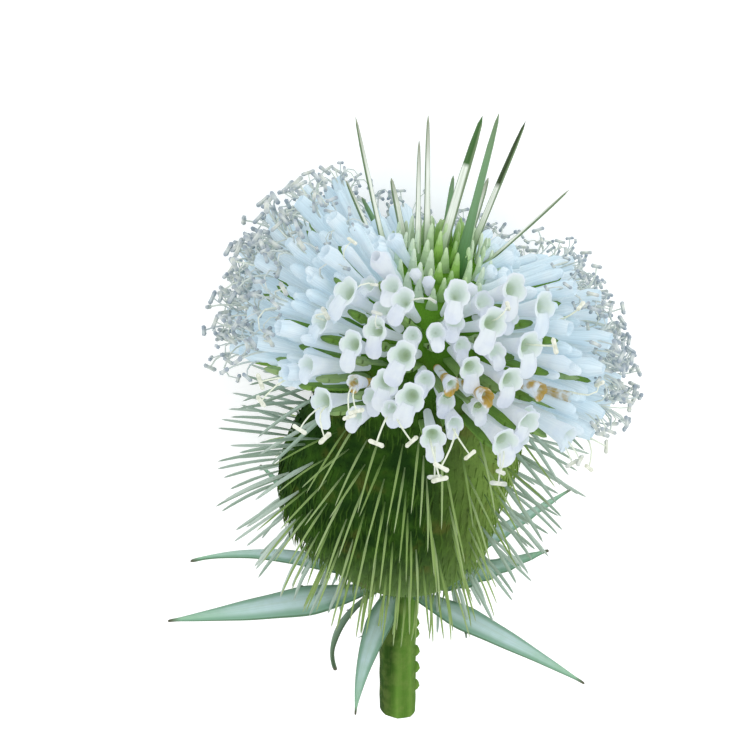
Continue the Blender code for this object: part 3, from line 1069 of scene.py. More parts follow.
@dataclass
class HeadBody:
    """The egg-shaped receptacle, cut flat where the stem meets it, with short bristles all over."""

    shape: HeadShape
    sides: int = 48
    rings: int = 34
    bristle_count: int = 1900
    bristle_span: Number = (-0.0225, 0.0130)
    bristle_length: float = 0.0029
    bristle_width: float = 0.00042
    bristle_root: float = 0.0004
    bristle_bend: float = 0.0006

    def model_egg(self, material: Material) -> Piece:
        """Extrudes the egg from its flat foot to its tip.

        Args:
            material: what it is made of.

        Returns:
            The egg.
        """
        top = self.shape.length / 2
        start = atan2(sqrt(1 - (self.shape.foot / top) ** 2), self.shape.foot / top)
        profile = []
        for step in range(self.rings):
            height = top * cos(start * (1 - step / self.rings))
            radius = self.shape.radius(height)
            profile.append(Ring(height, radius, radius, (self.shape.shift(height), 0.0)))
        egg = Bench.extruded("egg", self.sides, profile)
        egg.data.materials.append(material)
        Bench.mark(egg, "along", 0.0)
        Bench.smoothed(egg, radians(60))
        return egg

    def build(self, body: Material) -> Piece:
        """Builds the body with its bristles.

        Args:
            body: the material of the egg and the bristles.

        Returns:
            The finished piece.
        """
        pieces = [self.model_egg(body)]
        size = self.bristle_width / 2
        hair = Bench.extruded("bristle", 3, [
            Ring(-self.bristle_root, size, size * 0.6),
            Ring(self.bristle_length * 0.5, size * 0.8, size * 0.6),
            Ring(self.bristle_length, size * 0.2, size * 0.2, (0, -self.bristle_bend)),
        ])
        hair.data.materials.append(body)
        Bench.mark(hair, "along", lambda place: max(0.0, place.z / self.bristle_length))
        for site in self.shape.sites(self.bristle_count, self.bristle_span, 1.3):
            side = radial(site.azimuth + pi / 2) * 0.3 * wander(site.number, 21)
            way = site.normal * 0.2 + Vector((0, 0, -1)) + side
            size = 0.8 + 0.35 * wander(site.number, 22)
            way = self.shape.pressed(site.point, way.normalized(), self.bristle_length * size)
            place = aimed(site.point, way) @ Matrix.Scale(size, 4)
            pieces.append(Bench.copy_of(hair, place))
        Bench.drop([hair])
        return fitted(Bench.joined("body", pieces), self.shape, "green_bract", "seed_head")


@dataclass
class SpinyBracts:
    """The slender spines that stand out below the florets and droop a little at their tips."""

    shape: HeadShape
    count: int = 330
    span: Number = (-0.0264, 0.0066)
    length: Number = (0.0068, 0.0118)  # at the lowest and the highest spine
    droop: Number = (0.44, 0.15)  # at the lowest and the highest spine
    front: float = 0.75
    slim: Number = (0.00058, 0.00031)  # width at the root and past it
    broad: Number = (0.0012, 0.00066)  # width at the root and past it
    bows: tuple[float, ...] = (-0.10, -0.02, -0.16)
    straight_from: float = 0.75
    side_to: float = 0.62
    sparse_to: float = 0.6
    master_length: float = 0.010

    def way(self, site: Site) -> tuple[Vector, float]:
        """Gives a spine's direction and length at its site.

        Args:
            site: where it grows.

        Returns:
            The direction, with length 1, and the length.
        """
        length = between(self.length, site.share**0.6) * (1 + 0.08 * wander(site.number, 1))
        droop = between(self.droop, site.share) + self.front * max(0.0, cos(site.azimuth)) ** 2
        direction = (site.normal + Vector((0, 0, -droop))).normalized()
        return self.shape.pressed(site.point, direction, length), length

    def build(self, green: Material, grey: Material) -> Piece:
        """Builds the spines.

        Args:
            green: the material of those in front and behind.
            grey: the material of those at the sides, paler with painted light.

        Returns:
            The finished piece.
        """
        masters = [
            Blade("spine", self.master_length, *sizes, 0.5, bow=bow, root_taper=0.4).model(material)
            for sizes, material in ((self.slim, green), (self.broad, grey)) for bow in self.bows
        ]
        pieces = []
        for site in self.shape.sites(self.count, self.span):
            facing = cos(site.azimuth)
            if site.number % 4 == 1 and abs(facing) < self.sparse_to:
                continue
            direction, length = self.way(site)
            place = aimed(site.point, direction, 0.15 * wander(site.number, 24))
            place = place @ Matrix.Diagonal((1, 1, length / self.master_length, 1))
            bow = 1 if direction.y > self.straight_from else site.number % len(self.bows)
            # painted light: the spines at the sides take the paler grey finish
            beside = 0 if abs(facing) > self.side_to else len(self.bows)
            tint = 0.7 * wander(site.number, 25)
            pieces.append(Bench.copy_of(masters[bow + beside], place, tint=tint))
        Bench.drop(masters)
        return fitted(Bench.joined("spines", pieces), self.shape, "green_bract", "seed_head")


@dataclass
class Tuft:
    """The long spines at the top of the head, over a few short fresh bracts.

    The numbers of the long spines' finishes: 0 is green, 1 has a pale middle, 2 a dark green tip too and 3 a
    blackish one.
    """

    shape: HeadShape
    dome_count: int = 116
    dome_span: Number = (0.0220, 0.0279)
    dome_edge: float = 0.0242
    dome_length: Number = (0.0030, 0.0046)
    dome_lean: Number = (radians(26), radians(6))
    front_from: float = 0.75
    bright: float = 0.0015
    master_length: float = 0.008

    @staticmethod
    def blades() -> list[tuple[float, ...]]:
        """Lists the long spines: root, height, lean's azimuth and angle, length, widths, bow and finish."""
        return [
            (-80, 0.0254, -130, 26, 0.0219, 0.0014, 0.0008, 0.03, 1),
            (-81, 0.0250, -122, 36, 0.0138, 0.0014, 0.0008, 0.0, 1),
            (-47, 0.0271, -167, 22, 0.0174, 0.0013, 0.0007, 0.0, 1),
            (-39, 0.0276, -163, 20, 0.0204, 0.0014, 0.0008, 0.02, 1),
            (-4, 0.0276, 147, 19, 0.0215, 0.0020, 0.0014, -0.03, 2),
            (27, 0.0264, 149, 14, 0.0239, 0.0023, 0.0011, -0.03, 0),
            (97, 0.0271, 141, 27, 0.0214, 0.0014, 0.0009, -0.02, 3),
            (76, 0.0262, 99, 44, 0.0174, 0.0014, 0.0007, 0.03, 1),
            (170, 0.0266, 175, 28, 0.0105, 0.0016, 0.0010, 0.0, 0),
            (-130, 0.0262, -140, 28, 0.0105, 0.0016, 0.0010, 0.0, 1),
            (140, 0.0262, 150, 26, 0.0115, 0.0016, 0.0010, 0.0, 1),
            (-112, 0.0254, -118, 38, 0.0095, 0.0016, 0.0010, 0.0, 0),
        ]

    def build(self, finishes: Sequence[Material], dome: Material) -> Piece:
        """Builds the tuft and the dome.

        Args:
            finishes: the materials of the long spines, in the order of their numbers.
            dome: the material of the short bracts.

        Returns:
            The finished piece.
        """
        pieces = []
        for number, (root, height, way, lean, length, width, spine, bow, light) in enumerate(self.blades()):
            blade = Blade("blade", length, width, spine, 0.45, bow=bow, flatness=0.35)
            made = blade.model(finishes[light])
            direction = leaning(radians(way), radians(lean))
            made.data.transform(aimed(self.shape.point(radians(root), height), direction))
            Bench.mark(made, "tint", wander(number, 26))
            pieces.append(made)
        scale = Blade("dome_bract", self.master_length, 0.0020, 0.0009, 0.7, bow=0.06, flatness=0.3)
        short = scale.model(dome)
        for site in self.shape.sites(self.dome_count, self.dome_span, 0.7):
            if site.height < self.dome_edge and cos(site.azimuth) < self.front_from:
                continue
            lean = between(self.dome_lean, site.share)
            direction = leaning(site.azimuth, lean)
            length = between(self.dome_length, site.share) * (1 + 0.15 * wander(site.number, 27))
            place = aimed(site.point, self.shape.pressed(site.point, direction, length))
            place = place @ Matrix.Diagonal((1, 1, length / self.master_length, 1))
            off = abs(site.point.x - self.bright) / self.shape.width * 9
            tint = min(1.0, off - 0.2) + 0.35 * wander(site.number, 28)
            pieces.append(Bench.copy_of(short, place, tint=tint))
        Bench.drop([short])
        return fitted(Bench.joined("tuft", pieces), self.shape, "green_bract", "seed_head")


class CorollaForm(Enum):
    """The states of a floret: how far its lobes spread, how full its tube is and how green its throat, a
    green that is partly painted shade.
    """

    OPEN = (1.0, 1.0, 1.0)
    ROUND = (0.88, 1.05, 0.9)
    HALF = (0.60, 1.04, 0.8)
    TULIP = (0.24, 1.0, 0.1)
    SHUT = (0.08, 1.05, 0.0)
    WITHERED = (0.34, 0.85, 1.0)

    @property
    def spread(self) -> float:
        """Gives how far the lobes spread, as a share of a fresh floret's."""
        return self.value[0]

    @property
    def fullness(self) -> float:
        """Gives how wide the tube is, as a share of a fresh floret's."""
        return self.value[1]

    @property
    def throat(self) -> float:
        """Gives how much of the throat's colour, which is partly painted shade, shows."""
        return self.value[2]


@dataclass
class Corolla:
    """One floret modelled once: a slender tube, a hood of three lobes over it and a long rounded lower lobe.

    The wall turns over at the rim and goes back in as a shallow throat, so the floret is a closed shape.
    Each outline lists points in millimetres from the lowest one round to the highest, 15 degrees apart.
    """

    form: CorollaForm
    length: float = 0.0118
    mouth: float = 0.00135
    size: float = 0.87
    sides: int = 24
    edge: tuple[Place, ...] = (
        (0.0, -4.75, -0.9), (0.80, -4.58, -0.9), (1.35, -4.00, -0.7), (1.52, -3.20, -0.3),
        (1.38, -2.35, 0.1), (1.18, -1.70, 0.3), (1.84, -1.25, 0.6), (2.18, -0.40, 0.8), (2.05, 0.45, 0.9),
        (1.58, 0.95, 0.7), (1.52, 1.80, 1.0), (0.90, 2.38, 1.3), (0.0, 2.42, 1.3),
    )
    middle: tuple[Place, ...] = (
        (0.0, -3.10, 0.25), (0.55, -3.00, 0.2), (0.95, -2.75, 0.1), (1.10, -2.30, 0.1), (1.05, -1.85, 0.25),
        (1.05, -1.35, 0.4), (1.60, -1.00, 0.75), (1.88, -0.30, 0.95), (1.78, 0.45, 1.0), (1.40, 0.85, 0.85),
        (1.30, 1.55, 1.05), (0.75, 2.08, 1.25), (0.0, 2.14, 1.25),
    )
    lip: tuple[Place, ...] = (
        (0.0, -0.95, 0.45), (0.40, -0.95, 0.42), (0.70, -0.95, 0.4), (0.85, -0.92, 0.35), (0.95, -0.88, 0.3),
        (1.00, -0.75, 0.3), (1.20, -0.50, 0.35), (1.30, 0.0, 0.45), (1.25, 0.50, 0.5), (1.10, 0.85, 0.45),
        (0.90, 1.20, 0.5), (0.50, 1.50, 0.6), (0.0, 1.60, 0.6),
    )
    shut: tuple[Number, ...] = ((0.40, 1.9), (0.26, 1.2), (0.18, 0.2), (0.14, -0.6), (0.0, -1.2))

    def point(self, ring: int, turn: float, side: float) -> Vector:
        """Gives a point past the mouth, between its place in a shut floret and in an open one.

        Args:
            ring: 1 at the rim, then 2 to 5 down the throat.
            turn: the angle from the lowest point of the mouth, in degrees.
            side: 1 on the right and -1 on the left.

        Returns:
            The point.
        """
        step = round(turn / 15)
        if ring <= 3:
            x, y, z = (self.edge, self.middle, self.lip)[ring - 1][step]
        elif ring == 4:
            x, y, z = 0.90 * sin(radians(turn)), 0.2 - 0.95 * cos(radians(turn)), -1.1
        else:
            x, y, z = 0.0, 0.1, -2.6
        radius, height = self.shut[ring - 1]
        across = Vector((sin(radians(turn)), -cos(radians(turn)), 0)) * (radius * self.mouth)
        closed = across + Vector((0, 0, height / 1000))
        made = closed.lerp(Vector((x, y, z)) * self.size / 1000, self.form.spread)
        return Vector((side * made.x, made.y, made.z + self.length))

    def model(self, material: Material) -> Piece:
        """Models the corolla along Z from its root at the origin.

        Args:
            material: what it is made of.

        Returns:
            The closed corolla.
        """
        full = self.form.fullness
        profile = [(0.0, 0.0006), (0.6, 0.0008 * full), (0.84, 0.0011 * full), (1.0, self.mouth * full)]
        profile += [(1 + ring / 10, self.mouth) for ring in range(1, 6)]
        rings = [Ring(share * self.length, radius, radius) for share, radius in profile]
        piece = Bench.extruded("corolla", self.sides, rings)

        def throat(place: Vector) -> float:
            """Gives how much of the throat's colour a point takes, less on the lower lobe: the painted shade
            gathers under the hood and deeper in.

            Args:
                place: the point as extruded, before the rings past the mouth are moved.

            Returns:
                The share, from 0 to 1.
            """
            hood = limited((self.turn(place) - 55) / 25)
            share = place.z / self.length
            steps = (1.1, 1.2, 1.3, 1.4, 1.5)
            green = between((float(np.interp(share, steps, (0, 0, 0.2, 0.8, 1))),
                             float(np.interp(share, steps, (0, 0.3, 0.6, 0.8, 1)))), hood)
            return green * self.form.throat

        Bench.mark(piece, "along", lambda place: min(1.0, place.z / self.length / 1.1))
        Bench.mark(piece, "across", lambda place: atan2(place.x, place.y) / pi)
        Bench.mark(piece, "throat", throat)
        for name in ("tint", "age", "side"):
            Bench.mark(piece, name, 0.0)
        for corner in piece.data.vertices:
            ring = round((corner.co.z / self.length - 1) * 10)
            if ring > 0:
                corner.co = self.point(ring, self.turn(corner.co), 1.0 if corner.co.x > 0 else -1.0)
        piece.data.materials.append(material)
        Bench.smoothed(piece, radians(80))
        return piece

    @staticmethod
    def turn(place: Vector) -> float:
        """Gives a point's angle from the lowest point of the mouth, in degrees."""
        return abs(degrees(atan2(place.x, -place.y)))


@dataclass
class Stamen:
    """One stamen modelled once: a thin curled filament with its anther across the end."""

    length: float
    turns: Sequence[float]
    anther: Number = (0.0026, 0.00040)  # length and radius
    spin: float = 0.0
    radius: float = 0.00019

    def model(self, filament: Material, anther: Material) -> Piece:
        """Models the stamen from its root at the origin, first along Z and then curling in the YZ plane.

        Args:
            filament: the material of the thread.
            anther: the material of the crossbar.

        Returns:
            The stamen.
        """
        count = len(self.turns)
        radii = [self.radius * (1 - 0.35 * step / count) for step in range(count + 1)]
        thread = Bench.curved("thread", 4, radii, self.length / count, self.turns)
        thread.data.materials.append(filament)
        length, radius = self.anther
        profile = ((-0.5, 0.5), (-0.4, 0.95), (-0.1, 0.85), (0.1, 0.85), (0.4, 1.0), (0.5, 0.55))
        bar_rings = [Ring(share * length, radius * swell, radius * swell) for share, swell in profile]
        bar = Bench.extruded("bar", 5, bar_rings, pointed=False)
        Bench.mark(bar, "end", lambda place: abs(place.z) / length * 2)
        Bench.mark(thread, "end", 0.0)
        bar.data.materials.append(anther)
        end = Vector((0, 0, 0))
        heading = 0.0
        for turn in self.turns:
            heading += turn
            end += Vector((0, sin(heading), cos(heading))) * self.length / count
        lean = Matrix.Rotation(-heading, 4, "X") @ Matrix.Rotation(self.spin, 4, "Z")
        bar.data.transform(Matrix.Translation(end) @ lean @ Matrix.Rotation(radians(90), 4, "Y"))
        stamen = Bench.joined("stamen", [thread, bar])
        Bench.mark(stamen, "tint", 0.0)
        Bench.smoothed(stamen, radians(60))
        return stamen


@dataclass(frozen=True)
class FloretPlace:
    """Where one floret stands, its length, its share of the way up the band and how far it faces front."""

    number: int
    place: Matrix
    length: float
    share: float
    facing: float


@dataclass
class FloretRing:
    """The band of white florets with their stamens and the green bracts between them.

    A floret's facing is 1 in front, 0 at the sides and -1 at the back. A field whose name ends in from or to
    is a limit of the facing, apart from low_to, which is one of the share of the way up the band.
    """

    shape: HeadShape
    count: int = 122
    bud_count: int = 440
    top_count: int = 46
    top_rise: Number = (0.0002, 0.0026)
    top_to: float = 0.76
    span: Number = (0.0094, 0.0240)
    tilt: Number = (radians(-8), radians(44))  # at the lower and the upper edge
    length: float = 0.0120
    sway_azimuth: float = radians(-100)
    sway: Number = (radians(11), 0.0017)  # more tilt and more length
    dip_azimuth: float = radians(160)
    dip: Number = (radians(24), 0.0042)  # less tilt and less length
    front: float = radians(22)
    loose: float = 0.09
    reach: float = 0.0050
    depth: float = 0.0028
    bract_length: float = 0.0100
    apart: Number = (0.0013, 0.0026)  # at their feet and at their mouths
    open_from: float = 0.74
    extra_from: float = 0.7
    extra_number: int = 1000
    top_number: int = 2000
    lace_to: float = 0.55
    low_to: float = 0.2
    far_left: Number = (0.0095, 0.004)  # where longer stamens begin, and over how much
    stamen_foot: float = 0.0006
    withered: tuple[int, ...] = (26, 55, 42, 50, 37)
    closed: tuple[int, ...] = (115,)

    def places(self, count: int, turn: float = 0.0) -> list[FloretPlace]:
        """Works out where florets stand: packed on the spiral, swept up on the left and closed up in front.

        Args:
            count: how many there are.
            turn: how far their spiral is turned.

        Returns:
            Their places, from the lowest up.
        """
        found = []
        for site in self.shape.sites(count, self.span, turn):
            sway = cos(site.azimuth - self.sway_azimuth)
            dip = max(0.0, cos(site.azimuth - self.dip_azimuth)) * min(1.0, 1.6 * site.share)
            front = max(0.0, cos(site.azimuth)) * max(-0.1, 1 - 2 * site.share)
            tilt = between(self.tilt, site.share) + self.sway[0] * sway
            tilt = tilt + self.front * front - self.dip[0] * dip
            tilt += 0.05 * wander(site.number, 4)
            tilt += self.loose * wander(site.number, 45)
            way = site.azimuth + self.loose * wander(site.number, 46)
            length = self.length * (1 + 0.05 * wander(site.number, 5)) - self.dip[1] * dip
            length += self.sway[1] * max(0.0, sway) * (site.share + 0.3)
            place = aimed(site.point, rising(way, tilt))
            found.append(FloretPlace(site.number, place, length, site.share, cos(site.azimuth)))
        return found

    def passes(self, piece: Piece, place: Matrix) -> float:
        """Gives how far a placed repeat would pass the surface below."""
        return max((place @ corner.co).y for corner in piece.data.vertices) - self.shape.axis_height

    def form_of(self, spot: FloretPlace) -> CorollaForm:
        """Chooses the state of a floret.

        Args:
            spot: where it stands.

        Returns:
            The state.
        """
        if spot.number in self.withered:
            return CorollaForm.WITHERED
        if spot.number in self.closed:
            return CorollaForm.SHUT
        chance = wander(spot.number, 31)
        if spot.facing < self.open_from:
            return CorollaForm.TULIP if chance > -0.4 else CorollaForm.SHUT
        if chance > 0.62:
            return CorollaForm.HALF
        return CorollaForm.OPEN if chance < 0.25 else CorollaForm.ROUND

    def clear(self, spot: FloretPlace, others: Sequence[FloretPlace]) -> bool:
        """Says whether a floret's foot and mouth are far enough from those of the florets around it.

        Args:
            spot: the place to be tried.
            others: the places that are taken.

        Returns:
            True where there is room.
        """
        ends = [(place.place.translation, place.place @ Vector((0, 0, place.length))) for place in others]
        foot = spot.place.translation
        mouth = spot.place @ Vector((0, 0, spot.length))
        at_foot = min((foot - low).length for low, high in ends)
        at_mouth = min((mouth - high).length for low, high in ends)
        return at_foot > self.apart[0] and at_mouth > self.apart[1]

    def set_down(self, master: Piece, spot: FloretPlace, stretch: float) -> Piece:
        """Copies a corolla to its place, cut short where the surface below is in the way.

        Args:
            master: the corolla as modelled, with the usual length.
            spot: where it goes.
            stretch: its length as a share of the usual one.

        Returns:
            The copy.
        """
        turn = Matrix.Rotation(0.4 * wander(spot.number, 32), 4, "Z")
        turn = turn @ Matrix.Scale(1 + 0.1 * wander(spot.number, 47), 4)
        slim = 1.0 if spot.facing > self.open_from else 0.88
        turn = turn @ Matrix.Diagonal((slim, slim, 1, 1))
        place = spot.place @ turn @ Matrix.Diagonal((1, 1, stretch, 1))
        below = self.passes(master, place)
        if below > 0:
            steepness = (spot.place @ Vector((0, 0, 1)) - spot.place.translation).y
            cut = max(0.35, 1 - below / steepness / spot.length)
            place = spot.place @ turn @ Matrix.Diagonal((1, 1, stretch * cut, 1))
        age = 1.0 if spot.number in self.withered and spot.facing > 0 else 0.0
        if age:
            place = place @ Matrix.Diagonal((0.9, 0.9, 0.88, 1))
        # side: how much pale blue painted shade the floret takes, full at the sides
        side = limited((0.9 - spot.facing) / 0.3)
        return Bench.copy_of(master, place, tint=wander(spot.number, 33), age=age, side=side)

    def model_bud(self, material: Material) -> Piece:
        """Models a long bud along Z, with the same marks as a corolla.

        Args:
            material: what it is made of.

        Returns:
            The bud.
        """
        profile = ((0, 0.0005), (0.4, 0.0007), (0.7, 0.0009), (0.88, 0.0010), (0.97, 0.0006), (1, 0.0002))
        rings = [Ring(share * self.length, radius, radius) for share, radius in profile]
        bud = Bench.extruded("bud", 6, rings)
        bud.data.materials.append(material)
        Bench.mark(bud, "along", 1.0)
        Bench.mark(bud, "across", lambda place: atan2(place.x, place.y) / pi)
        for name in ("throat", "tint", "age", "side"):
            Bench.mark(bud, name, 0.0)
        Bench.smoothed(bud, radians(80))
        return bud

    def set_top(self, masters: dict[CorollaForm, Piece], bud: Piece) -> list[Piece]:
        """Sets short florets along the upper edge of the band, and buds where it faces the front.

        Args:
            masters: the corollas as modelled.
            bud: the bud as modelled.

        Returns:
            The copies.
        """
        pieces = []
        low, high = (self.span[1] + rise for rise in self.top_rise)
        for site in self.shape.sites(self.top_count, (low, high), 0.4):
            tilt = radians(40 - 12 * sin(site.azimuth)) + 0.12 * wander(site.number, 48)
            way = site.azimuth + 0.2 * wander(site.number, 49)
            place = aimed(site.point, rising(way, tilt))
            number = site.number + self.top_number
            spot = FloretPlace(number, place, self.length, 1.0, cos(site.azimuth))
            form = CorollaForm.TULIP if site.number % 3 == 0 else CorollaForm.SHUT
            if -0.4 < spot.facing < self.top_to:
                stretch = 0.46 - 0.12 * max(0.0, sin(site.azimuth)) + 0.08 * wander(site.number, 50)
                pieces.append(self.set_down(masters[form], spot, stretch))
            elif spot.facing > self.top_to and site.height < self.span[1] + 0.0012:
                pieces.append(self.set_down(bud, spot, 0.4))
        return pieces

    def build_corollas(self, material: Material) -> Piece:
        """Builds the corollas and, between them, the long buds at the sides and the back.

        Args:
            material: what they are made of.

        Returns:
            The finished piece.
        """
        masters = {form: Corolla(form).model(material) for form in CorollaForm}
        bud = self.model_bud(material)
        pieces = []
        taken = self.places(self.count)
        for spot in taken:
            pieces.append(self.set_down(masters[self.form_of(spot)], spot, spot.length / self.length))
        for spot in self.places(self.bud_count, 1.1):
            size = spot.length / self.length * (0.9 + 0.12 * wander(spot.number, 40))
            extra = replace(spot, number=spot.number + self.extra_number)
            if spot.facing < self.extra_from:
                pieces.append(self.set_down(bud, extra, size))
            elif spot.share < 0.9 and self.clear(spot, taken):
                taken.append(spot)
                pieces.append(self.set_down(masters[CorollaForm.HALF], extra, size * 0.86))
        pieces += self.set_top(masters, bud)
        Bench.drop([*masters.values(), bud])
        return fitted(Bench.joined("florets", pieces), self.shape, "petal", "floret_belt")

    def stamen_count(self, spot: FloretPlace) -> int:
        """Says how many stamens show: many at the sides and the back, and few in front.

        Args:
            spot: where the floret stands.

        Returns:
            Up to ten at the sides and the back, two along the lower edge in front and else one or none.
        """
        if spot.facing < self.lace_to:
            return 10 if spot.facing < 0.4 else 7
        if spot.share < self.low_to:
            return 2
        return 1 if wander(spot.number, 43) > 0.4 else 0

    def hangs(self, spot: FloretPlace) -> bool:
        """Says whether a floret stands along the lower edge in front, where the stamens droop."""
        return spot.facing > self.lace_to and spot.share < self.low_to

    def stamen_place(self, spot: FloretPlace, number: int, quarter: int) -> Matrix:
        """Works out where a stamen goes in a floret's mouth.

        Args:
            spot: where the floret stands.
            number: the stamen's own number.
            quarter: its number among those of the floret.

        Returns:
            The matrix that its mesh goes through.
        """
        low = self.hangs(spot)
        angle = quarter * 2.1 + pi / 4 + 0.5 * wander(number, 34)
        if low:
            angle = -pi / 2 + (quarter - 0.5) * 1.2 + 0.3 * wander(number, 34)
        left = limited((-spot.place.translation.x - self.far_left[0]) / self.far_left[1])
        size = 0.9 + 0.1 * wander(number, 35) - 0.8 * max(0.0, spot.share - 0.7) * (1 - left)
        size += 0.5 * left * max(0.0, spot.share - 0.4)
        splay = radians(8) + radians(7) * wander(number, 36)
        foot = (self.stamen_foot * cos(angle), self.stamen_foot * sin(angle), spot.length - self.depth)
        turn = wander(number, 44) if low else angle - pi / 2 + 0.6 * wander(number, 44)
        lean = Matrix.Rotation(turn, 4, "Z") @ Matrix.Rotation(splay if low else -splay, 4, "X")
        return spot.place @ Matrix.Translation(foot) @ lean @ Matrix.Scale(size, 4)

    def build_stamens(self, filament: Material, anther: Material) -> Piece:
        """Builds the stamens that stand out of the florets.

        Args:
            filament: the material of the threads.
            anther: the material of the crossbars.

        Returns:
            The finished piece.
        """
        full = self.depth + self.reach
        curls = [
            Stamen(full, (0.0, 0.05, 0.1, 0.1, 0.15), (0.0025, 0.00039), 0.3),
            Stamen(full, (0.0, 0.1, 0.25, 0.35, 0.4), (0.0022, 0.00037), 1.2),
            Stamen(full + 0.0014, (0.0, 0.0, 0.4, 0.7, 0.9, 0.8), (0.0019, 0.00035), 2.2),
            Stamen(full - 0.0008, (0.0, -0.1, 0.1, 0.6, 1.0), (0.0023, 0.00038), 0.9),
        ]
        droops = [
            Stamen(full + 0.0012, (0.0, -0.1, -0.3, -0.35, -0.3, -0.15), spin=0.2),
            Stamen(full + 0.0006, (0.0, -0.05, -0.2, -0.3, -0.35, -0.25), spin=-0.5),
        ]
        curled = [stamen.model(filament, anther) for stamen in curls]
        drooping = [stamen.model(filament, anther) for stamen in droops]
        pieces = []
        for spot in self.places(self.count):
            masters = drooping if self.hangs(spot) else curled
            for quarter in range(self.stamen_count(spot)):
                number = spot.number * 10 + quarter
                place = self.stamen_place(spot, number, quarter)
                master = masters[(number * 7 + spot.number) % len(masters)]
                if self.passes(master, place) > -self.shape.gap:
                    continue
                # painted shade: stamens at the sides get a low tint, which makes them darker grey-blue with
                # grey ends
                tint = 0.25 * wander(number, 37) - (0.6 if spot.facing < 0.6 else 0)
                pieces.append(Bench.copy_of(master, place, tint=tint))
        Bench.drop([*curled, *drooping])
        return fitted(Bench.joined("stamens", pieces), self.shape, "petal", "floret_belt")

    def build_bracts(self, material: Material) -> Piece:
        """Builds the green bract under each floret, whose tip shows between the corollas.

        Args:
            material: what they are made of.

        Returns:
            The finished piece.
        """
        blade = Blade("band_bract", self.bract_length, 0.0026, 0.0018, 0.8, bow=0.05, flatness=0.3)
        master = blade.model(material)
        pieces = []
        for spot in self.places(self.count):
            low = spot.place @ Vector((0, -0.0014, 0))
            outward = spot.place @ Vector((0, -0.10, 1)) - spot.place.translation
            size = spot.length / self.length * (1.0 + 0.08 * wander(spot.number, 38))
            outward = self.shape.pressed(low, outward.normalized(), self.bract_length * size)
            slim = 1.0 if spot.facing > 0.6 else 0.7
            place = aimed(low, outward) @ Matrix.Diagonal((slim, 1, size, 1))
            pieces.append(Bench.copy_of(master, place, tint=wander(spot.number, 39)))
        Bench.drop([master])
        return fitted(Bench.joined("band_bracts", pieces), self.shape, "green_bract", "seed_head")


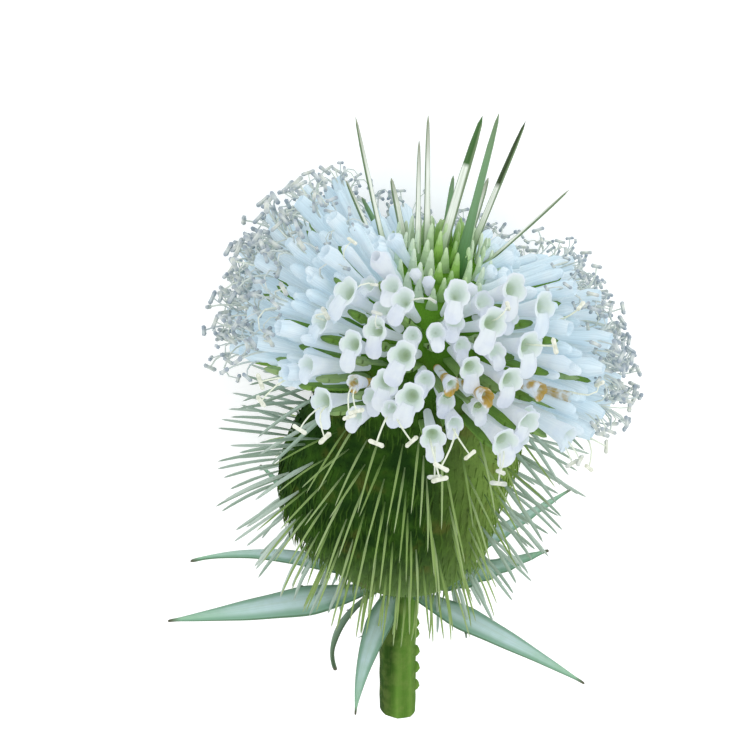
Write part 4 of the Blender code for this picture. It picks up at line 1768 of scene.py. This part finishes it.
@dataclass
class LeafyBract:
    """One of the long leafy bracts below the head: a keeled blade with fine teeth and a drawn-out tip."""

    name: str
    azimuth: float
    low: float
    high: float
    sweep: float
    roll: float
    length: float
    width: float
    teeth: float = 0.0
    widest: float = 0.32
    root_share: float = 0.28
    taper: float = 1.35
    root: Number = (0.0034, -0.0284)  # distance from the axis, and height
    thickness: float = 0.0007
    keel: float = 0.22
    rows: int = 24
    columns: int = 6
    tip_share: float = 0.07
    thinning: float = 0.75
    edge_thickness: float = 0.2
    ripple: Number = (0.03, 700)  # how deep, and how close
    prickle_count: int = 1
    prickle_span: Number = (0.06, 0.62)

    def line(self, length: float) -> list[Vector]:
        """Gives the points along the midrib, from the root to the tip.

        Args:
            length: how long it is.

        Returns:
            The points, one more than there are rows.
        """
        point = radial(self.azimuth) * self.root[0] + Vector((0, 0, self.root[1]))
        line = [point]
        for step in range(self.rows):
            share = (step + 0.5) / self.rows
            angle = between((self.low, self.high), share)
            way = rising(self.azimuth + self.sweep * share, -angle)
            point = point + way * (length / self.rows)
            line.append(point)
        return line

    def half_width(self, share: float) -> float:
        """Gives half the blade's width at this share of its length.

        Args:
            share: 0 at the root, 1 at the tip.

        Returns:
            Half the width.
        """
        if share < self.widest:
            grown = sin(pi / 2 * share / self.widest)
            return self.width / 2 * between((self.root_share, 1), grown)
        taper = 1 - ((share - self.widest) / (1 - self.widest)) ** self.taper
        return self.width / 2 * max(self.tip_share, taper)

    def reach(self, shape: HeadShape) -> float:
        """Gives the length, which for a leaf that the head rests on ends at the surface.

        Args:
            shape: the head that it spreads from.

        Returns:
            The length.
        """
        if self.length:
            return self.length
        one = self.line(1.0)
        return (shape.axis_height - one[0].y) / (one[-1] - one[0]).y

    def model_blade(self, length: float) -> Piece:
        """Models the flat blade from a grid and gives it its wall.

        Args:
            length: how long it is.

        Returns:
            The blade along +Y, not yet bent.
        """
        Bench.clear()
        bpy.ops.mesh.primitive_grid_add(x_subdivisions=self.columns, y_subdivisions=self.rows, size=2)
        blade = bpy.context.active_object
        Bench.mark(blade, "across", lambda place: place.x)
        Bench.mark(blade, "along", lambda place: (place.y + 1) / 2)
        body = blade.vertex_groups.new(name="body")
        for corner in blade.data.vertices:
            body.add([corner.index], 1 - self.thinning * abs(corner.co.x) ** 2, "REPLACE")
        Bench.open(blade)
        rise = self.keel * 2 / self.columns
        for side in (-1.0, 1.0):
            for column in range(1, self.columns // 2 + 1):
                Bench.pick(blade, lambda p, s=side, c=column: p.x * s > (c - 0.5) * 2 / self.columns)
                bpy.ops.transform.translate(value=(0, 0, rise))
        for row in range(self.rows + 1):
            share = row / self.rows
            level = share * 2 - 1
            half = self.half_width(share) * (1 - self.teeth * (row // 2 % 2))
            Bench.pick(blade, lambda p, y=level: abs(p.y - y) < 0.5 / self.rows)
            bpy.ops.transform.resize(value=(half, 1, half), center_override=(0, level, 0))
        bpy.ops.mesh.select_all(action="SELECT")
        bpy.ops.transform.translate(value=(0, 1, 0))
        bpy.ops.transform.resize(value=(1, length / 2, 1), center_override=(0, 0, 0))
        Bench.close(outward=False)
        Bench.modified(blade, "SOLIDIFY", thickness=self.thickness, offset=0.0, vertex_group="body",
                       thickness_vertex_group=self.edge_thickness)
        Bench.modified(blade, "SUBSURF", levels=1, render_levels=1)
        return blade

    def laid_on(self, length: float) -> Callable[[Vector], Vector]:
        """Gives what moves a point of the flat blade to its place along the bent midrib.

        Args:
            length: how long the blade is.

        Returns:
            The function.
        """
        line = self.line(length)

        def moved(place: Vector) -> Vector:
            """Moves one point.

            Args:
                place: the point of the flat blade.

            Returns:
                Its place on the bent one.
            """
            share = max(0.0, min(0.99999, place.y / length)) * self.rows
            step = int(share)
            before = line[max(0, step - 1)]
            way = (line[min(self.rows, step + 2)] - before).normalized()
            azimuth = self.azimuth + self.sweep * share / self.rows
            roll = self.roll * min(1.0, share / self.rows / self.widest)
            across = Vector((cos(azimuth) * cos(roll), sin(azimuth) * cos(roll), sin(roll)))
            across = (across - way * across.dot(way)).normalized()
            above = across.cross(way)
            ripple = self.ripple[0] * place.x * sin(place.y * self.ripple[1] + self.azimuth * 5)
            middle = line[step].lerp(line[step + 1], share - step)
            return middle + across * place.x + above * (place.z + ripple)

        return moved

    def build(self, shape: HeadShape, material: Material) -> Piece:
        """Builds the leaf with its prickles.

        Args:
            shape: the head that it spreads from.
            material: what it is made of.

        Returns:
            The finished piece.
        """
        length = self.reach(shape)
        blade = self.model_blade(length)
        blade.data.materials.append(material)
        thorn = Blade("thorn", 0.0011, 0.0006, 0.0003, bow=0.1, root_depth=0.0002, sides=4).model(material)
        Bench.mark(thorn, "along", 0.97)
        Bench.mark(thorn, "across", 0.9)
        pieces = [blade]
        for number in range(self.prickle_count):
            share = between(self.prickle_span, (number + 0.5) / self.prickle_count)
            side = 1 if number % 2 else -1
            half = self.half_width(share)
            foot = Vector((side * half * 0.97, share * length, half * self.keel))
            way = Vector((side, 0.9 + 0.4 * wander(number, 41), 0.1))
            size = 0.75 + 0.3 * wander(number + self.azimuth, 42)
            pieces.append(Bench.copy_of(thorn, aimed(foot, way) @ Matrix.Scale(size, 4)))
        Bench.drop([thorn])
        leaf = Bench.joined(self.name, pieces)
        move = self.laid_on(length)
        for corner in leaf.data.vertices:
            corner.co = move(corner.co)
        Bench.open(leaf)
        Bench.close()
        Bench.smoothed(leaf, radians(60))
        return fitted(leaf, shape, "leafy_bract", self.name)


@dataclass
class Stem:
    """The short stem with its rows of blunt prickles: a neck below the head, then a shoulder on its left."""

    shape: HeadShape
    root: float = 0.0011
    shoulder: Place = (0.30, 0.45, 0.0008)  # where it begins and ends, and how far the middle shifts
    radius: float = 0.0028
    neck: float = 0.72
    length: float = 0.0233
    bend: float = 0.0060
    bend_steps: int = 24
    sides: int = 24
    steps: int = 32
    ribs: int = 8
    rib: float = 0.00008
    uneven: Number = (0.012, 37)  # how deep, and how close
    teeth: tuple[float, ...] = (0.31, 0.39, 0.53, 0.66, 0.80)
    prickle_rows: tuple[float, ...] = (radians(150), radians(208))
    prickles_in_row: int = 7

    def shoulder_at(self, share: float) -> float:
        """Gives how much of its shoulder the stem has at this share of the way down, from 0 to 1."""
        part = (share - self.shoulder[0]) / (self.shoulder[1] - self.shoulder[0])
        return 0.5 - 0.5 * cos(pi * limited(part))

    def radius_at(self, share: float) -> float:
        """Gives the radius at this share of the way down."""
        return self.radius * between((self.neck, 1), self.shoulder_at(share))

    def middle(self, share: float) -> Vector:
        """Gives the point of the stem's middle at this share of the way down.

        Args:
            share: 0 at the head, 1 at the cut.

        Returns:
            The point.
        """
        side = self.root - self.shoulder[2] * self.shoulder_at(share)
        point = Vector((side, 0, self.shape.foot - self.shape.gap))
        for step in range(self.bend_steps):
            down = self.length * share / self.bend_steps
            lean = self.shape.lean * min(1.0, (step + 1) * down / self.bend)
            point = point + Vector((sin(lean), 0, -cos(lean))) * down
        return point

    def build(self, material: Material) -> Piece:
        """Builds the stem.

        Args:
            material: what it is made of.

        Returns:
            The finished piece.
        """
        rings = []
        for step in range(self.steps, -1, -1):
            share = step / self.steps
            spot = self.middle(share)
            radius = self.radius_at(share) * (1 + self.uneven[0] * sin(share * self.uneven[1]))
            rings.append(Ring(spot.z, radius, radius, spot.xy))
        stem = Bench.extruded("shaft", self.sides, rings, pointed=False)
        foot = self.middle(1.0)
        top = self.middle(0.0)

        def turn_at(place: Vector) -> float:
            """Gives the angle of a point of the stem about its middle, as a share of a full turn.

            Args:
                place: the point.

            Returns:
                The share, from 0 to 1.
            """
            share = (top.z - place.z) / (top.z - foot.z)
            off = place - self.middle(limited(share))
            return (atan2(off.y, off.x) / tau) % 1

        def off_rib(place: Vector) -> float:
            """Gives how far a point of the stem is from the nearest rib, from 0 to 0.5."""
            return abs((turn_at(place) * self.ribs + 0.5) % 1 - 0.5)

        Bench.open(stem)
        Bench.pick(stem, lambda p: off_rib(p) < 0.1)
        bpy.ops.transform.shrink_fatten(value=self.rib)
        Bench.close()
        Bench.mark(stem, "turn", turn_at)
        Bench.mark(stem, "across", lambda p: 1 - min(1.0, off_rib(p) * 2.4))
        Bench.mark(stem, "left", lambda p: limited(0.5 - (p.x - self.middle(0.5).x) / 0.005))
        Bench.mark(stem, "along", lambda p: (top.z - p.z) / self.length)
        Bench.mark(stem, "thorn", 0.0)
        stem.data.materials.append(material)
        thorn = Bench.extruded("thorn", 8, [
            Ring(-0.0006, 0.0007, 0.0012), Ring(0.0001, 0.0006, 0.0010), Ring(0.00042, 0.0004, 0.0006),
            Ring(0.00068, 0.00015, 0.0002),
        ])
        thorn.data.materials.append(material)
        for name in ("turn", "across", "left", "along"):
            Bench.mark(thorn, name, 0.3)
        Bench.mark(thorn, "thorn", lambda p: max(0.0, min(0.8, p.z / 0.0005)))
        spots = [(radians(92), share, 1.0 + 0.15 * sin(share * 40)) for share in self.teeth]
        for row, azimuth in enumerate(self.prickle_rows):
            for step in range(self.prickles_in_row):
                share = (step + 0.7 + 0.5 * (row % 2)) / (self.prickles_in_row + 0.6)
                spots.append((azimuth, share, 0.7 + 0.15 * wander(row * 10 + step, 51)))
        pieces = [stem]
        for azimuth, share, size in spots:
            out = radial(azimuth)
            foot_point = self.middle(share) + out * self.radius_at(share)
            place = aimed(foot_point, out + Vector((0, 0, -0.1))) @ Matrix.Scale(size, 4)
            pieces.append(Bench.copy_of(thorn, place))
        Bench.drop([thorn])
        made = Bench.joined("stalk", pieces)
        Bench.smoothed(made, radians(50))
        return fitted(made, self.shape, "stem_green", "stem")


@dataclass
class Studio:
    """The plain pale floor, the soft light and the camera at the photo's angle."""

    shape: HeadShape
    elevation: float = radians(25)
    pixel: float = 0.00015
    offset: Number = (-43, 47)  # the photo's middle, in pixels right of the head and above it
    lens: float = 110.0
    sensor: float = 36.0
    half_frame: float = 0.05625
    floor_size: float = 3.0
    floor_gap: float = 0.0001
    sky: Colour = (0.98, 0.99, 1.0, 1.0)
    sky_strength: float = 1.2
    lamp_place: Place = (0.30, 0.35, 0.55)
    lamp_size: float = 0.7
    lamp_energy: float = 0.8

    def place_camera(self) -> None:
        """Adds the camera."""
        back = Vector((0, sin(self.elevation), cos(self.elevation)))
        up = Vector((0, cos(self.elevation), -sin(self.elevation)))
        right = Vector((1, 0, 0))
        head = Vector((*self.shape.centre, self.shape.axis_height))
        target = head + right * (self.offset[0] * self.pixel) + up * (self.offset[1] * self.pixel)
        data = bpy.data.cameras.new("camera")
        data.lens = self.lens
        data.sensor_width = self.sensor
        data.clip_start = 0.01
        camera = bpy.data.objects.new("camera", data)
        bpy.context.scene.collection.objects.link(camera)
        distance = self.half_frame * self.lens / (self.sensor / 2)
        turn = Matrix((right, up, back)).transposed().to_4x4()
        camera.matrix_world = Matrix.Translation(target + back * distance) @ turn
        bpy.context.scene.camera = camera

    def lay_floor(self, material: Material) -> None:
        """Adds the floor just below the lowest point.

        Args:
            material: what it is made of.
        """
        Bench.clear()
        bpy.ops.mesh.primitive_plane_add(size=self.floor_size)
        floor_piece = bpy.context.active_object
        floor_piece.name = "floor"
        floor_piece.location.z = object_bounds()[0].z - self.floor_gap
        floor_piece.data.materials.append(material)
        floor_piece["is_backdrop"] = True

    def light(self) -> None:
        """Adds the soft sky and one large lamp."""
        world = bpy.data.worlds.new("studio")
        world.use_nodes = True
        background = world.node_tree.nodes["Background"]
        background.inputs["Color"].default_value = self.sky
        background.inputs["Strength"].default_value = self.sky_strength
        bpy.context.scene.world = world
        data = bpy.data.lights.new("window", "AREA")
        data.shape = "DISK"
        data.size = self.lamp_size
        data.energy = self.lamp_energy
        lamp = bpy.data.objects.new("window", data)
        bpy.context.scene.collection.objects.link(lamp)
        lamp.location = self.lamp_place
        lamp.rotation_mode = "QUATERNION"
        lamp.rotation_quaternion = Vector(self.lamp_place).to_track_quat("Z", "Y")
        bpy.context.scene.view_settings.view_transform = "Standard"

    def build(self, floor: Material) -> None:
        """Sets up the studio.

        Args:
            floor: the material of the floor.
        """
        self.place_camera()
        self.lay_floor(floor)
        self.light()
        log.info("studio: floor, lamp and camera")


def side_spine(effects: Effects) -> BractFinish:
    """Gives the finish of the spines at the sides: grey-green and paler than those in front, a paleness that
    is painted light.
    """
    return BractFinish(effects, "spine_grey", root=paint(104, 134, 92), middle=paint(176, 196, 182),
                       tip=paint(158, 170, 160), edge=paint(124, 144, 128), light=paint(216, 226, 218),
                       dark=paint(122, 144, 122), root_end=0.3, edge_amount=0.6, spread=0.6)


def tuft_finishes(effects: Effects) -> list[BractFinish]:
    """Lists the finishes of the long spines in the order of their numbers.

    Args:
        effects: the node groups that they draw on.

    Returns:
        Green, pale in the middle, pale with a dark green tip and pale with a blackish one.
    """
    pale = BractFinish(effects, "tuft_pale", root=paint(96, 150, 66), middle=paint(238, 243, 234),
                       tip=paint(140, 146, 124), edge=paint(100, 122, 88), tip_start=0.6, edge_amount=0.95,
                       edge_from=0.6, edge_to=0.85, root_end=0.3, spread=0.1)
    green = BractFinish(effects, "tuft_green", root=paint(50, 110, 44), middle=paint(122, 160, 122),
                        tip=paint(120, 138, 112), edge=paint(84, 116, 80), tip_start=0.7, spread=0.2)
    dark = replace(pale, name="tuft_dark", tip=paint(22, 82, 20), tip_start=0.64, tip_end=0.67)
    black = replace(pale, name="tuft_black", tip=paint(26, 44, 20), tip_start=0.5, tip_end=0.54)
    return [green, pale, dark, black]


def dome_bract(effects: Effects) -> BractFinish:
    """Gives the finish of the short fresh bracts at the top: yellow-green, paler towards their tips."""
    return BractFinish(effects, "dome_green", root=paint(110, 160, 56), middle=paint(160, 204, 104),
                       tip=paint(200, 222, 176), edge=paint(136, 182, 88), light=paint(218, 232, 214),
                       dark=paint(88, 144, 52), root_end=0.4, tip_start=0.5, spread=0.85)


def band_bract(effects: Effects) -> BractFinish:
    """Gives the finish of the florets' own bracts: fresh green."""
    return BractFinish(effects, "band_green", root=paint(100, 148, 46), middle=paint(130, 170, 68),
                       tip=paint(96, 130, 66), edge=paint(108, 152, 64))


def filament(effects: Effects) -> StamenFinish:
    """Gives the finish of the stamens' threads."""
    return StamenFinish(effects, "filament_pale", colour=paint(220, 226, 206), patch=paint(204, 212, 196))


def dull_leaf(effects: Effects) -> LeafFinish:
    """Gives the finish of the curled leafy bract: dull and darker than the others."""
    return LeafFinish(effects, "leaf_dull", bloom=paint(108, 132, 112), green=paint(84, 112, 76),
                      margin=paint(84, 108, 84), rim=paint(58, 78, 52))


def leafy_bracts() -> list[LeafyBract]:
    """Lists the ten leafy bracts: azimuth, four angles, length, width, teeth and, for some, the outline."""
    table = {
        "involucral_bract_front": (-18, 14, 2, 16, 0, 0.0286, 0.0042, 0, 0.22, 0.70, 1.0),
        "involucral_bract_front_right": (60, 5, 10, -3, 26, 0.0302, 0.0046, 0, 0.30, 0.62, 1.15),
        "involucral_bract_right": (98, -17, -21, 0, 20, 0.0210, 0.0052, 0.16),
        "involucral_bract_back_right": (130, -12, -13, 0, 10, 0.0340, 0.0040, 0.16),
        "involucral_bract_rest_right": (161, 4, 10, 0, 0, 0, 0.0040, 0),
        "involucral_bract_rest_left": (-167, 4, 10, 0, 0, 0, 0.0040, 0),
        "involucral_bract_back_left": (-137, -10, -12, 0, -12, 0.0310, 0.0046, 0.2),
        "involucral_bract_far_left": (-107, -12, 30, 0, -15, 0.0318, 0.0034, 0),
        "involucral_bract_front_left": (-77, 11, 5, 4, -28, 0.0328, 0.0054, 0),
        "involucral_bract_curled": (-56, 14, 116, -26, -20, 0.0168, 0.0015, 0, 0.66, 0.22, 1.0),
    }
    return [
        LeafyBract(name, *[radians(angle) for angle in row[:5]], *row[5:]) for name, row in table.items()
    ]


def main() -> None:
    """Loads the frame, builds every sub-assembly and sets the studio."""
    logging.basicConfig(level=logging.INFO, format="%(message)s")
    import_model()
    shape = HeadShape()
    effects = Effects()
    HeadBody(shape).build(BodyFinish(effects).material())
    SpinyBracts(shape).build(BractFinish(effects).material(), side_spine(effects).material())
    long_spines = [finish.material() for finish in tuft_finishes(effects)]
    Tuft(shape).build(long_spines, dome_bract(effects).material())
    florets = FloretRing(shape)
    florets.build_corollas(PetalFinish(effects).material())
    florets.build_stamens(filament(effects).material(), StamenFinish(effects).material())
    florets.build_bracts(band_bract(effects).material())
    fresh = LeafFinish(effects).material()
    dull = dull_leaf(effects).material()
    for leaf in leafy_bracts():
        leaf.build(shape, dull if leaf.name.endswith("curled") else fresh)
    Stem(shape).build(StemFinish(effects).material())
    Studio(shape).build(FloorFinish(effects).material())


if __name__ == "__main__":
    main()
